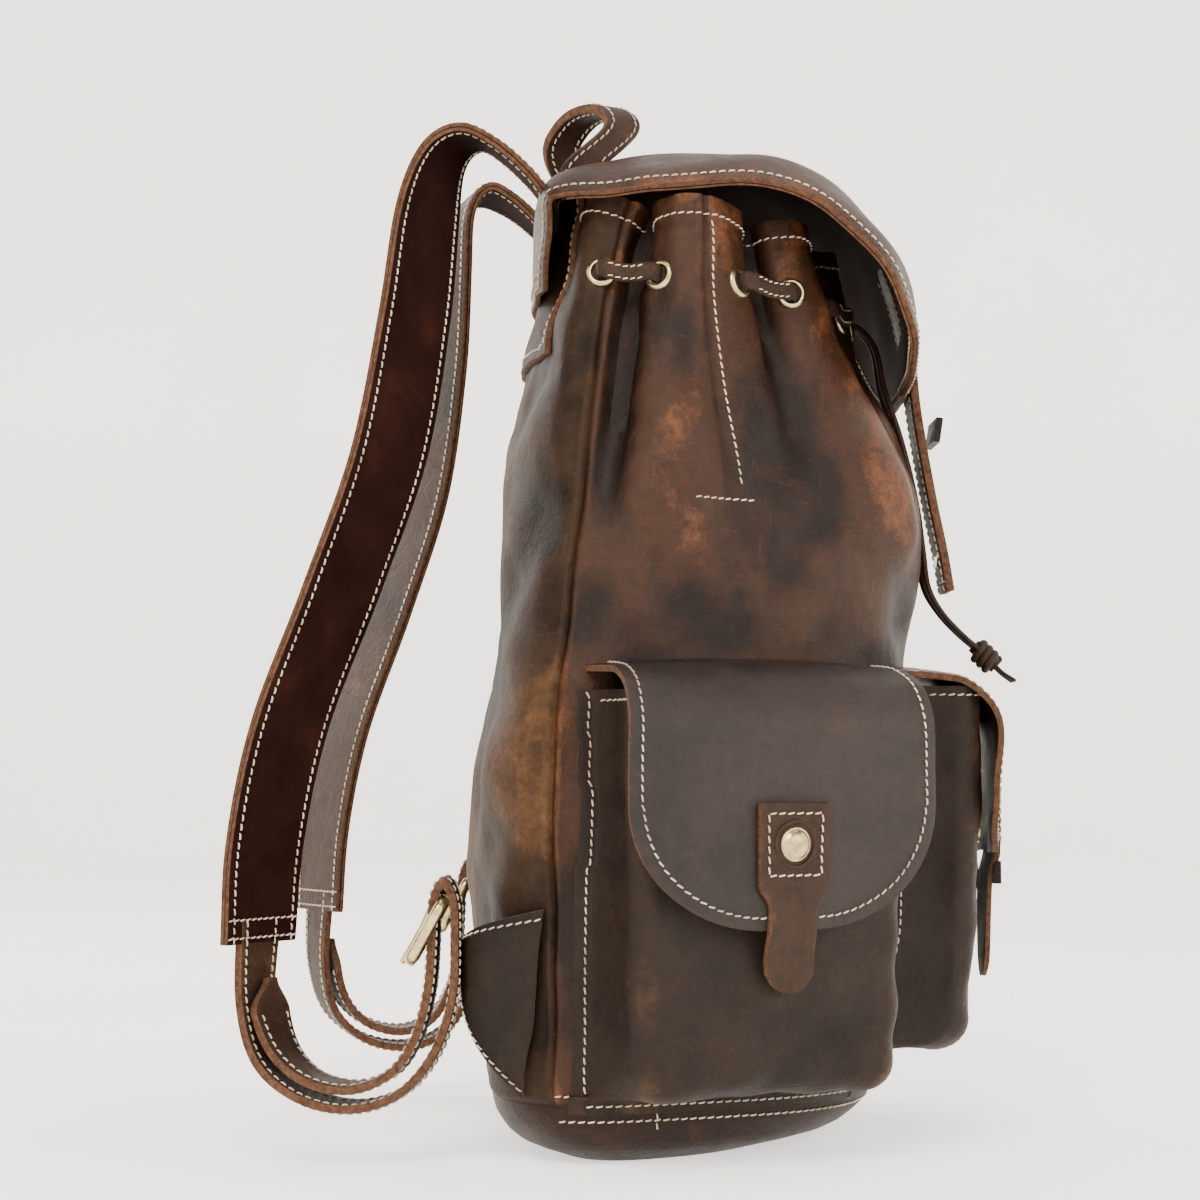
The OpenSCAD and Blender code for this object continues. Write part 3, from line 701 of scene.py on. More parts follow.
class Body:
    """The bag's outside as a fine grid that the pieces on it are laid on."""

    t = np.arange(0, 360.01, 0.5)
    z = np.arange(0, MOUTH_Z + 0.1, 2.0)

    def __init__(self):
        t, z = np.meshgrid(self.t, self.z)
        points = bare_skin(t, z)
        normals = grid_normals(points)
        out = creases(t, z, points)
        self.points = points + normals * out[..., None]
        self.normals = grid_normals(self.points)
        self.out = out

    def read(self, grid, t, z):
        """Reads a grid between its points."""
        t = np.asarray(t, float) % 360 / 0.5
        z = np.clip(np.asarray(z, float), 0, MOUTH_Z) / 2.0
        i = np.minimum(t.astype(int), len(self.t) - 2)
        j = np.minimum(z.astype(int), len(self.z) - 2)
        f, g = t - i, z - j
        if grid.ndim == 3:
            f, g = f[..., None], g[..., None]
        return ((grid[j, i] * (1 - f) + grid[j, i + 1] * f) * (1 - g)
                + (grid[j + 1, i] * (1 - f) + grid[j + 1, i + 1] * f) * g)

    def at(self, t, z, lift=0.0):
        t, z = np.broadcast_arrays(np.asarray(t, float), np.asarray(z, float))
        return self.read(self.points, t, z) + self.normal(t, z) * lift

    def normal(self, t, z):
        t, z = np.broadcast_arrays(np.asarray(t, float), np.asarray(z, float))
        return unit(self.read(self.normals, t, z))

    def line(self, t, z, lift=0.1):
        """A line on the leather for stitches: its points and normals."""
        t, z = np.broadcast_arrays(np.asarray(t, float), np.asarray(z, float))
        return self.at(t, z, lift), self.normal(t, z)

    def wear(self, t, z):
        """Rubbing: high on crests and beside seams, low in folds."""
        t, z = np.broadcast_arrays(np.asarray(t, float), np.asarray(z, float))
        rub = 0.5 + 0.16 * self.read(self.out, t, z) + 0.12 * step_up(z, 250, 380) * crest_of(t)
        for seam in SEAMS:
            rub = rub + 0.35 * np.exp(-(near_angle(t, seam) * 2.0 / 6) ** 2)
        return np.clip(rub, 0, 1)


def spread(low, high, step, fine_at=(), fine_half=5.0, fine_step=0.5):
    """Places from low to high, closer together near some of them."""
    values = set(np.round(np.linspace(low, high, int(round((high - low) / step)) + 1), 4))
    for centre in fine_at:
        for value in np.arange(centre - fine_half, centre + fine_half + 0.01, fine_step):
            if low < value < high:
                values.add(round(float(value), 4))
    values = sorted(values)
    kept = [values[0]]
    for value in values[1:-1]:
        if value - kept[-1] > fine_step * 0.6:
            kept.append(value)
    return np.array(kept + [values[-1]])


def panel_rows():
    return spread(BASE_Z, MOUTH_Z, 4.0, (BASE_Z, MOUTH_Z - 11), 6, 1.2)


def build_panels(body):
    """The back panel and the front panel, meeting at the side seams."""
    z = panel_rows()
    for name, low, high, fine in (("back_panel_leather", 30, 150, (30, 150)),
                                  ("front_panel_leather", 150, 390, (150, 390, 181.5, 358.5))):
        t = spread(low, high, 1.4, fine, 4.5, 0.5)
        tt, zz = np.meshgrid(t, z)
        sheet_piece(name, body.at(tt, zz), 2.6, ["back_hide" if low == 30 else "hide", "edge"], "root",
                    body.wear(tt, zz), replaces=[name.replace("_leather", "")])
    rim = np.arange(0, 360.5, 1.0)
    lines = [body.line(rim, np.full_like(rim, MOUTH_Z - 8.0))]
    for dart in DARTS:
        up = np.arange(278, 392, 2.0)
        across = np.arange(-4, 4.1, 0.5)
        lines.append(body.line(dart + across, np.full_like(across, 272.0)))
        lines.append(body.line(np.full_like(up, dart + 1.6), up))
    stitch_row("body_stitches", lines, "root", 3.8, radius=0.38)


def build_base(body):
    """The base panel, wrapped up round the bottom, with its stitched seam."""
    t = np.arange(0, 360, 1.5)
    rows = []
    middle = np.array([0.0, 20.0, 0.0])
    for share in (0.0, 0.2, 0.4, 0.6, 0.8, 0.93):
        edge = body.at(t, np.zeros_like(t))
        rows.append(middle + (edge - middle) * share)
    for z in (0, 1.5, 3.5, 6, 9, 12.5, 16, 19, 21, 22.4, 23.4, BASE_Z):
        rows.append(body.at(t, np.full_like(t, float(z))))
    grid = np.array(rows)
    grid[..., 2] = np.maximum(grid[..., 2], 0)
    wear = 0.5 + 0.25 * step_up(grid[..., 2], 0, 12) * (1 - step_up(grid[..., 2], 12, 24))
    # The base_hide colours carry painted shade for the shaded bottom as well as the leather's own dark tone
    piece = sheet_piece("base_leather", grid, 2.4, ["base_hide", "edge"], "root", wear, wrap=True,
                        replaces=["base_panel"], round_mm=0)
    weld(piece)
    around = np.arange(150, 390.5, 1.0)
    lines = [body.line(around, np.full_like(around, 18.5)), body.line(around, np.full_like(around, 29.0))]
    for cross in (177, 3):
        up = np.arange(14, 34, 1.0)
        lines.append(body.line(np.full_like(up, float(cross)), up))
    stitch_row("base_stitches", lines, "root", 4.0)


def build_lining(body):
    """Cloth lining inside the leather, ending below the eyelets."""
    t = np.arange(0, 360, 3.0)
    middle = np.array([0.0, 20.0, 5.6])
    bottom = body.at(t, np.full_like(t, 3.0), -4.5)
    bottom[:, 2] = 5.6
    rows = [middle + (bottom - middle) * share for share in (0.0, 0.4, 0.8, 1.0)]
    for z in (8, 14, 24, 40, 70, 100, 130, 160, 190, 220, 245, 265, 285, 300, 315, 328, 338):
        rows.append(body.at(t, np.full_like(t, float(z)), -3.4))
    grid = np.array(rows)
    piece = sheet_piece("cloth_lining", grid, 0.6, ["cloth"], "root", wrap=True, replaces=["lining"],
                        round_mm=0)
    weld(piece)


def build_yoke(body):
    """The patch over the top of the back, carried forward as the shelf under the grab loop."""
    t = np.linspace(55, 125, 61)
    rows = [body.at(t, np.full_like(t, float(z)), 2.7) for z in np.arange(335, 398, 4.0)]
    x = body.at(t, np.full_like(t, 398.0))[:, 0]
    top = rows[-1]
    for y, z in through([[67.5, 408], [65, 415], [58, 420.5], [50, 422.6], [43.5, 423.2]], 4):
        rows.append(np.stack([x, np.minimum(top[:, 1], y), np.full_like(x, z)], -1))
    grid = np.array(rows)
    wear = np.full(grid.shape[:2], 0.55) + 0.1 * ripple(grid, 40, 7)
    sheet_piece("yoke_leather", grid, 2.5, ["back_hide", "edge"], "root", np.clip(wear, 0, 1),
                replaces=["back_yoke"])
    normals = grid_normals(grid)
    def row_line(i, cut=3):
        return grid[i, cut:-cut] + normals[i, cut:-cut] * 0.1, normals[i, cut:-cut]
    def column_line(j):
        return grid[1:-1, j] + normals[1:-1, j] * 0.1, normals[1:-1, j]
    stitch_row("yoke_stitches", [row_line(1), row_line(-2), row_line(-14), column_line(2), column_line(-3)],
               "root")


# ---- eyelets and drawstring ----

EYELET_Z = 366
FLANK = 12
EYELETS = [t for i in range(PLEATS) for t in (i * 45 - FLANK, i * 45 + FLANK)
           if math.sin(math.radians(t)) < 0.7] + [270]


def build_eyelets(body):
    """Rolled brass eyelets, each closed by a dark disc that paints the shade inside its hole."""
    ring = [(4.0, -0.6), (4.0, 0.4), (4.3, 1.1), (4.9, 1.5), (5.6, 1.4), (6.3, 0.9), (6.8, 0.0),
            (6.7, -0.6), (4.0, -0.6)]
    rings = [turned_mesh(ring, body.at(t, EYELET_Z), body.normal(t, EYELET_Z), 36) for t in EYELETS]
    points, faces = join_meshes(rings)
    piece = new_piece("brass_eyelets", points, faces, ["brass"], None, None, "root", 60)
    weld(piece)
    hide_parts("eyelets")
    # Painted shade: a dark disc across each eyelet's hole stands in for the shadow behind it
    shade_discs = [turned_mesh([(0.0, 0.35), (2.0, 0.35), (4.1, 0.3), (4.1, -0.4), (0.0, -0.4)],
                         body.at(t, EYELET_Z),
                         body.normal(t, EYELET_Z), 24) for t in EYELETS]
    points, faces = join_meshes(shade_discs)
    weld(new_piece("eyelet_holes", points, faces, ["gap"], None, None, "root", 60))


def strap_mesh(path, sides, width, thick):
    """A flat strap: its outer grid, five columns wide, with lightly crowned faces."""
    path, sides = np.asarray(path, float), unit(np.asarray(sides, float))
    tangent = unit(np.gradient(path, axis=0))
    lift = unit(np.cross(sides, tangent))
    width = np.broadcast_to(np.asarray(width, float), (len(path),))
    columns = np.linspace(-0.5, 0.5, 9)
    crown = (1 - (2 * columns) ** 2) * 0.5
    grid = (path[:, None] + sides[:, None] * (columns[None, :] * width[:, None])[..., None]
            + lift[:, None] * (thick + crown)[None, :, None])
    return grid, lift


def edge_line(grid, normals, share, lift=0.12):
    """A line along a strap at a share of its width, for stitches."""
    cols = grid.shape[1]
    place = share * (cols - 1)
    i = int(min(place, cols - 2))
    f = place - i
    points = grid[:, i] * (1 - f) + grid[:, i + 1] * f
    normal = unit(normals[:, i] * (1 - f) + normals[:, i + 1] * f)
    return points + normal * lift, normal


def build_drawstring(body):
    """The folded leather lace that runs outside across each fold and inside behind each pleat."""
    laps = []
    for i in range(PLEATS):
        c = i * 45
        for t, side in ((c - FLANK, 1), (c - FLANK, -1), (c, -1.2), (c + FLANK, -1), (c + FLANK, 1),
                        (c + 22.5, 1)):
            hidden = math.sin(math.radians(t)) >= 0.7
            if hidden and side > 0:
                if t == c + 22.5:
                    laps.append((t, -1))
                continue
            laps.append((t, side))
    t = np.array([lap[0] for lap in laps], float)
    away = np.array([4.6 if lap[1] > 0 else 6.6 * lap[1] for lap in laps])
    points = body.at(t, EYELET_Z) + body.normal(t, EYELET_Z) * away[:, None]
    for j in range(len(t)):
        if t[j] % 45 == 22.5 and laps[j][1] > 0:
            points[j] = (points[j - 1] + points[(j + 1) % len(t)]) / 2 - [0, 0, 1.5]
    closed = np.vstack([points[-1:], points, points[:2]])
    path = through(closed, 8)[8:-8]
    path = path[:-1]
    piece = tube_piece("drawstring_lace", path, 3.9, ["strap_hide"], "root", 10, True, 0.36, (0, 0, 1),
                       replaces=["drawstring"])
    outside = [j for j in range(len(t)) if t[j] % 45 == 22.5 and laps[j][1] > 0]
    lines = []
    for j in outside:
        span = path[(j - 1) * 8 + 3:(j + 1) * 8 - 2] if j > 0 else path[:0]
        if len(span) < 3:
            continue
        way = unit(points[(j + 1) % len(t)] - points[j - 1])
        normal = np.tile(unit(np.cross(way, [0.0, 0, 1])), (len(span), 1))
        for drop in (-2.6, 2.6):
            lines.append((span + normal * 0.9 + np.array([0, 0, drop]), normal))
    stitch_row("drawstring_stitches", lines, "root", 3.0, radius=0.3)
    return piece


STRING_ENDS = [[2.4, -59, 361], [2.6, -70, 360], [5, -78, 350], [8, -81.5, 332], [10, -89, 308],
               [11, -95.5, 280], [11, -98.5, 258], [8, -101, 242], [5, -107, 231], [4, -115, 222],
               [3, -124, 214]]


def build_string_ends():
    """The two loose ends of the drawstring and the knot that ties them."""
    knot = build_knot()
    width = millimetres("lace_width")
    for side, name in ((-1, "left_string_end"), (1, "right_string_end")):
        path = through([[p[0] * side, p[1], p[2]] for p in STRING_ENDS], 8)
        piece = tube_piece(name, path, width / 2, ["strap_hide"], None, 10, False, 0.62, (1, 0.02, 0),
                           replaces=["drawstring_ends"])
        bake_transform(piece)


def build_knot():
    """Three turns of lace wrapped round the two ends, with their cut tips standing out."""
    axis = unit(np.array([0.0, -math.sin(math.radians(46)), -math.cos(math.radians(46))]))
    start = np.array([0.0, -123.0, 215.0])
    turns = np.linspace(0, 3.2 * 2 * math.pi, 90)
    level, up = frame_at(axis)
    spiral = (start + axis * (1 + turns / (2 * math.pi) * 3.3)[:, None]
              + (np.cos(turns)[:, None] * level + np.sin(turns)[:, None] * up) * 4.0)
    parts = [tube_mesh(spiral, 1.9, 8)]
    parts.append(tube_mesh(start + axis * np.linspace(-1, 13, 8)[:, None], 3.3, 10))
    for side in (-1, 1):
        tip = through([start + axis * 11 + level * side * 1.2, start + axis * 17 + level * side * 3,
                       start + axis * 23 + level * side * 6 + up * 1.0], 6)
        parts.append(tube_mesh(tip, np.linspace(2.2, 1.7, len(tip)), 8, False, 0.5, level))
    points, faces = join_meshes(parts)
    piece = new_piece("drawstring_wrap_knot", points, faces, ["strap_hide"], None, np.full(len(points), 0.6),
                      "front_flap", 60)
    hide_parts("drawstring_knot")
    return piece


# ---- lid ----

# The lid leather is one piece: sewn across the back, over the top edge and down the front
LID_LINE = [[75.5, 366], [75, 379], [73.5, 392], [72, 403], [70, 413], [65, 420.5], [56, 425], [42, 427.5],
            [22, 431],
            [-10, 432], [-36, 427.5], [-59, 413.5], [-77, 393.5], [-87, 368], [-89.5, 345], [-88, 327]]
LID_WIDTHS = [0.62, 0.68, 0.74, 0.79, 0.83, 0.86, 0.89, 0.93, 0.97, 1, 1.01, 1.01, 0.98, 0.88, 0.66, 0.3]
LID_DROOP = [0, 0, 0.1, 0.3, 0.5, 0.75, 0.9, 1, 1.05, 1.05, 1.1, 1.1, 1.1, 0.9, 0.5, 0.1]
LID_HINGE_SHARE = 0.36


def lid_surface(v, u):
    """The lid's outside: v runs from the seam on the back over the top and down the front."""
    steps = 16
    line, width, droop = through(LID_LINE, steps), through(LID_WIDTHS, steps)[:, 0], through(LID_DROOP,
            steps)[:, 0]
    share = np.linspace(0, 1, len(line))
    y, z = np.interp(v, share, line[:, 0]), np.interp(v, share, line[:, 1])
    w, d = np.interp(v, share, width), np.interp(v, share, droop)
    back = 1 - step_up(v, 0.1, 0.4)
    drop = d * (20 * u ** 2 + 5 * np.abs(u) ** 6)
    return np.stack([u * 110 * w, y - back * 7 * u ** 2, z - drop], -1)


def lid_grid(start=0.0):
    """The lid's outer face, its outward directions and the places (u, v) on it, down to the tip."""
    v = np.concatenate([np.linspace(start, 0.84, 84), np.linspace(0.84, 1, 26)[1:]])
    u = np.linspace(1, -1, 71)
    uu, vv = np.meshgrid(u, v)
    points = lid_surface(vv, uu)
    normals = grid_normals(points)
    if normals[len(v) // 2, 35, 2] < 0:
        normals = -normals
    wave = ripple(points, 90, 11) * 0.9 + ripple(points, 40, 12) * 0.35
    curl = -2.0 * np.abs(uu) ** 8
    return points + normals * (wave + curl + 2.6)[..., None], normals, uu, vv


def build_lid():
    """The domed lid: grain leather outside, suede inside, stitched along its cut edge."""
    grid, normals, uu, vv = lid_grid()
    wear = 0.55 + 0.1 * ripple(grid, 45, 13) + 0.3 * np.abs(uu) ** 10 + 0.25 * step_up(vv, 0.9, 1)
    pieces = [sheet_piece("lid_leather", grid, 2.5, ["hide", "edge"], None, np.clip(wear, 0, 1),
                          replaces=["lid_outer"])]
    low, low_normals, _, _ = lid_grid(LID_HINGE_SHARE)
    under = low - low_normals * 2.6
    pieces.append(sheet_piece("lid_suede", under, 1.1, ["suede", "edge", "suede"], None,
                              replaces=["lid_lining"],
                              round_mm=0.3))
    lines = []
    for face, way, lift, sign in ((grid, normals, 0.1, 1), (under, low_normals, -1.25, -1)):
        path = edge_path(face, 5.0)
        normal = unit(edge_path(way, 5.0, face))
        lines.append((path + normal * lift, normal * sign))
    sewn = slice(3, -3)
    for row in (1, 4):
        lines.append((grid[row, sewn] + normals[row, sewn] * 0.1, normals[row, sewn]))
    pieces.append(stitch_row("lid_stitches", lines, None, 4.0))
    for piece in pieces:
        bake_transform(piece)


def edge_path(values, inset, shape=None):
    """Values along a lid-like grid's open edge, inset from it: down one side, across the end and back up."""
    shape = values if shape is None else shape
    rows, cols = shape.shape[:2]
    across = np.linalg.norm(np.diff(shape, axis=1), axis=-1)
    down = np.linalg.norm(np.diff(shape, axis=0), axis=-1).mean(1)
    end_row = rows - 1 - inset / down[-1]
    left, right = [], []
    for r in range(1, int(end_row) + 1):
        step = across[r].mean()
        slope = abs(np.linalg.norm(shape[r, -1] - shape[r, 0])
                    - np.linalg.norm(shape[r - 1, -1] - shape[r - 1, 0])) / 2
        place = inset * math.hypot(1, slope / max(down[r - 1], 1e-6)) / step
        if place > (cols - 1) / 2:
            break
        i = int(place)
        f = place - i
        left.append(values[r, i] * (1 - f) + values[r, i + 1] * f)
        j = cols - 1 - i
        right.append(values[r, j] * (1 - f) + values[r, j - 1] * f)
    r = min(int(end_row), rows - 1)
    step = across[r].mean()
    margin = min(int(round(inset * 1.6 / step)), cols // 2 - 1)
    middle = [values[r, k] for k in range(margin, cols - margin)]
    return np.array(left + middle + right[::-1])


LID_STRAP = [[-81, 395.5], [-90.5, 370], [-95.5, 345], [-97.5, 325], [-100.5, 305], [-105, 280],
             [-109.5, 258],
             [-112.5, 240]]
LID_STRAP_THICK = 3.9


def build_lid_strap():
    """The strap that closes the lid, sewn up the lid's front."""
    line = through(LID_STRAP, 8)
    path = np.stack([np.zeros(len(line)), line[:, 0], line[:, 1]], -1)
    width = millimetres("lid_strap_width")
    grid, lift = strap_mesh(path, np.tile([1.0, 0, 0], (len(path), 1)), width, LID_STRAP_THICK)
    normals = np.repeat(lift[:, None], 9, 1)
    piece = sheet_piece("lid_strap_leather", grid, LID_STRAP_THICK, ["strap_hide", "edge"],
                        "lid", replaces=["lid_strap"])
    lines = [edge_line(grid, normals, share) for share in (0.13, 0.87)]
    end = grid[-3]
    lines.append((end + normals[-3] * 0.12, normals[-3]))
    stitch_row("lid_strap_stitches", lines, "lid", 3.8, radius=0.38)
    return piece


def place_nodes():
    """CAD pieces whose own shape is right get their finish."""
    brass = ["lid_snap_socket", "lid_snap_stud", "left_snap_socket", "left_snap_stud", "right_snap_socket",
             "right_snap_stud", "front_snap_socket", "front_snap_stud"]
    for name in brass:
        finish_node(name, "brass")
    finish_node("base_board", "board")
    finish_node("lid_strap_keeper", "strap_hide")
    finish_node("front_tab_keeper", "strap_hide")


def finish_node(name, material):
    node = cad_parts[name]
    for slot in node.material_slots:
        slot.material = FINISH[material]


# ---- pockets ----

class PocketPlace:
    """Where a pocket sits: across runs along its width, out points away from the bag."""

    def __init__(self, body, centre, across, out, angles, size, low, high):
        self.body = body
        self.centre, self.across, self.out = (np.array(v, float) for v in (centre, across, out))
        self.angles = np.arange(angles[0], angles[1], 1.0)
        self.width, self.depth, self.low, self.high = size[0], size[1], low, high
        self.walls = {}

    def world(self, w, o, z):
        w, o, z = np.broadcast_arrays(*(np.asarray(v, float) for v in (w, o, z)))
        flat = self.centre + w[..., None] * self.across + o[..., None] * self.out
        return np.concatenate([flat, z[..., None]], -1)

    def outline(self, z):
        """The bag's own outline at height z as (w, o) points in order of w, smoothed over its creases."""
        key = round(float(z), 2)
        if key not in self.walls:
            skin = self.body.at(self.angles, np.full_like(self.angles, key))[:, :2] - self.centre
            kernel = np.hanning(15)
            kernel /= kernel.sum()
            both = np.stack([skin @ self.across, skin @ self.out], -1)
            padded = np.vstack([np.repeat(both[:1], 7, 0), both, np.repeat(both[-1:], 7, 0)])
            smooth = np.stack([np.convolve(padded[:, k], kernel, "valid") for k in (0, 1)], -1)[4:-4]
            self.walls[key] = smooth if smooth[-1, 0] > smooth[0, 0] else smooth[::-1]
        return self.walls[key]

    def roots(self, shares, reach, z):
        """Points on the bag's outline: share -1 to 1 between the two seams, and reach past them in mm."""
        line = self.outline(z)
        steps = np.linalg.norm(np.diff(line, axis=0), axis=1)
        length = np.concatenate([[0], np.cumsum(steps)])
        half = self.width / 2
        middle = np.searchsorted(line[:, 0], 0)
        first = np.where(line[:middle, 0] < -half)[0]
        low = length[first[-1]] if len(first) else length[2]
        last = np.where(line[middle:, 0] > half)[0]
        high = length[middle + last[0]] if len(last) else length[-3]
        at = low + (np.asarray(shares) + 1) / 2 * (high - low) + reach
        return np.stack([np.interp(at, length, line[:, 0]), np.interp(at, length, line[:, 1])], -1)

    def wall(self, w, z):
        """How far out the bag's own leather stands at w and z."""
        w, z = np.broadcast_arrays(np.asarray(w, float), np.asarray(z, float))
        found = np.empty(w.shape)
        for height in np.unique(z):
            line = self.outline(height)
            line = line[np.argsort(line[:, 0])]
            mask = z == height
            found[mask] = np.interp(w[mask], line[:, 0], line[:, 1])
        return found


GUSSET_SHARES = [0, 0.06, 0.16, 0.3, 0.45, 0.6, 0.72, 0.8]
POCKET_CORNER = 9.0
POCKET_ROUND = 15.0


def pocket_rows(low, high):
    """(height, how far the bottom edge is rounded in, share of the depth) from the mouth down."""
    rows = [(z, 0.0, 1.0) for z in np.linspace(high, low + POCKET_ROUND, 38)]
    for a in np.radians(np.linspace(12, 90, 8)):
        rows.append((low + POCKET_ROUND * (1 - math.sin(a)), POCKET_ROUND * (1 - math.cos(a)), 1.0))
    rows += [(low + (1 - q) * 1.5, POCKET_ROUND, q) for q in (0.82, 0.64, 0.46, 0.3, 0.14, 0.04, 0.0)]
    return rows + [(low - 3.0, POCKET_ROUND, 0.0), (low - 6.5, POCKET_ROUND, 0.0)]


def pocket_grid(place, seed):
    """The pocket's leather: flange, gusset, front and bottom in one grid. Rows run down from the mouth."""
    half = place.width / 2
    turn = np.radians(np.linspace(0, 90, 6))
    front = np.linspace(-1, 1, 27)
    rows = pocket_rows(place.low, place.high)
    grid = []
    for z, inset, share in rows:
        fall = (z - place.low) / (place.high - place.low)
        narrow = half * (0.91 + 0.09 * min(max(fall, 0), 1) ** 0.7) - inset * 0.5
        depth = place.depth * (0.8 + 0.2 * min(max(fall, 0), 1) ** 0.6) - inset
        belly = 4.5 * math.sin(math.pi * min(max(1 - fall, 0.0), 1.0) ** 0.8)
        columns = []
        for side in (-1, 1):
            flange = place.roots(np.full(4, side), np.array([7.5, 5.0, 2.6, 0.9]) * side, z)
            flange[:, 1] += 1.4
            seam = place.roots(np.array([side]), np.array([0.0]), z)[0] + np.array([0, 1.9])
            corner = np.array([side * narrow, depth])
            gusset = []
            for g in GUSSET_SHARES[1:]:
                ease = np.array([seam[0] + (corner[0] - seam[0]) * g, seam[1]
                                 + (corner[1] - POCKET_CORNER - seam[1]) * g / 0.8])
                fold = 2.6 * math.sin(math.pi * min(g / 0.8, 1)) * (0.4 + 0.6 * fall)
                gusset.append(ease - np.array([side * fold, 0]))
            bend = np.stack([corner[0] - side * POCKET_CORNER * (1 - np.cos(turn[1:])),
                             corner[1] - POCKET_CORNER * (1 - np.sin(turn[1:]))], -1)
            columns.append((flange, np.array([seam]), np.array(gusset), bend))
        flat = front * (narrow - POCKET_CORNER)
        face = np.stack([flat, depth + belly * np.cos(front * math.pi / 2)], -1)[1:-1]
        left, right = columns
        full = np.concatenate([*left, face, right[3][::-1], right[2][::-1], right[1], right[0][::-1]])
        if share < 1:
            shares = np.clip(full[:, 0] / half, -1, 1)
            root = place.roots(shares, np.zeros(len(full)), z) + np.array([0, 1.4])
            edge = 5
            mixed = root + (full - root) * share
            mixed[:edge], mixed[-edge:] = full[:edge], full[-edge:]
            full = mixed
        grid.append(place.world(full[:, 0], full[:, 1], np.full(len(full), z)))
    grid = np.array(grid)
    count = grid.shape[1]
    index = np.minimum(np.arange(count), np.arange(count)[::-1])
    free = step_up(index, 5, 14)
    held = np.array([row[2] for row in rows])[:, None]
    normals = grid_normals(grid)
    normals = normals * face_sign(grid, normals, place)
    soft = (ripple(grid, 50, seed) * 1.0 + ripple(grid, 22, seed + 1) * 0.4) * free[None] * held
    grid = grid + normals * soft[..., None]
    wear = 0.42 + 0.5 * np.exp(-((index - 14) / 2.5) ** 2)[None] + 0.25 * (held < 1) + 0.08 * soft
    return grid, np.clip(wear, 0, 1)


def face_sign(grid, normals, place):
    """1 where the grid's normals already point out of the bag, otherwise -1."""
    middle = normals[grid.shape[0] // 3, grid.shape[1] // 2, :2]
    return 1.0 if float(middle @ place.out) > 0 else -1.0


def build_pocket(name, place, nodes, seed, mirror):
    """One soft pocket: a single piece of leather with a stitched flange round it and a hemmed mouth."""
    grid, wear = pocket_grid(place, seed)
    if face_sign(grid, grid_normals(grid), place) < 0:
        grid, wear = grid[:, ::-1], wear[:, ::-1]
    normals = grid_normals(grid)
    count = grid.shape[1]
    lines = []
    for column in (2, count - 3):
        part = slice(0, len(grid) - 2)
        lines.append((grid[part, column] + normals[part, column] * 0.12, normals[part, column]))
    lines.append((grid[-2, 4:-4] + normals[-2, 4:-4] * 0.12, normals[-2, 4:-4]))
    hem = slice(5, count - 5)
    lines.append((grid[1, hem] + normals[1, hem] * 0.12, normals[1, hem]))
    if mirror:
        grid, wear = mirrored(grid), wear[:, ::-1]
        lines = [mirrored_line(line) for line in lines]
    # The pocket_hide colours carry painted shade under the flap and low on the bag as well as the leather's
    # own dark tone
    sheet_piece(f"{name}_pocket_leather", grid, 1.6, ["pocket_hide", "edge"], "root", wear, replaces=nodes,
                round_mm=0.4)
    stitch_row(f"{name}_pocket_stitches", lines, "root", 4.0)


class FlapShape:
    """A flap's leather: where a point of its flat cut comes to lie. v runs down from the hinge."""

    def __init__(self, place, path, half_top, half_low, drop_v, tip_r, seed):
        self.place, self.seed = place, seed
        self.curve = through(path, 10)
        self.half_top, self.half_low, self.drop_v, self.tip_r = half_top, half_low, drop_v, tip_r

    def half(self, v):
        """Half the cut's width at v, with its round lower corners."""
        v = np.asarray(v, float)
        straight = self.half_top + (self.half_low - self.half_top) * step_up(v, 0, self.drop_v * 0.5)
        into = np.clip(v - (self.drop_v - self.tip_r), 0, self.tip_r)
        return straight - self.tip_r * 1.12 + 1.12 * np.sqrt(np.maximum(self.tip_r ** 2 - into ** 2, 0))

    def at(self, x, v, lift=0.0):
        x, v = np.broadcast_arrays(np.asarray(x, float), np.asarray(v, float))
        spot = along(self.curve, v)
        ahead = along(self.curve, v + 0.5) - along(self.curve, v - 0.5)
        tangent = ahead / np.linalg.norm(ahead, axis=-1, keepdims=True)
        share = x / self.half_low
        sag = step_up(v, 20, 70)
        swell = (1.6 * (1 - share ** 2) - 2.4 * np.abs(share) ** 4) * sag
        o = spot[..., 0] + (-tangent[..., 1]) * (lift + swell)
        z = spot[..., 1] + tangent[..., 0] * (lift + swell)
        root = 1 - step_up(v, 0, 16)
        wall = self.place.wall(x, np.full_like(x, 205.0))
        o = o + root * (wall + 1.2 - o) * (v < 16)
        points = self.place.world(x, o, z - 3.0 * share ** 2 * (1 - sag))
        return points + self.ripples(points)

    def ripples(self, points):
        flat = np.concatenate([self.place.out, [0.0]])
        return (ripple(points, 70, self.seed) * 0.7 + ripple(points, 30, self.seed + 1) * 0.25)[...,
                None] * flat

    def line(self, x, v, lift):
        """A line on the flap for stitches: its points and outward normals."""
        x, v = np.broadcast_arrays(np.asarray(x, float), np.asarray(v, float))
        across = self.at(x + 1, v, lift) - self.at(x - 1, v, lift)
        down = self.at(x, v + 1, lift) - self.at(x, v - 1, lift)
        normal = unit(np.cross(down, across))
        out = np.concatenate([self.place.out, [0.6]])
        normal = np.where((normal @ out)[..., None] < 0, -normal, normal)
        return self.at(x, v, lift), normal


def flap_outline(flap, inset):
    """The flap's open edge, inset: down one side, round the corners and up the other."""
    top = np.linspace(8, flap.drop_v - flap.tip_r, 30)
    turn = np.radians(np.linspace(0, 90, 26))[1:]
    round_v = flap.drop_v - flap.tip_r + (flap.tip_r - inset) * np.sin(turn)
    centre = flap.half_low - flap.tip_r * 1.12
    round_x = centre + (flap.tip_r - inset) * 1.12 * np.cos(turn)
    x = np.concatenate([flap.half(top) - inset, round_x])
    v = np.concatenate([top, round_v])
    return np.concatenate([-x, x[::-1]]), np.concatenate([v, v[::-1]])


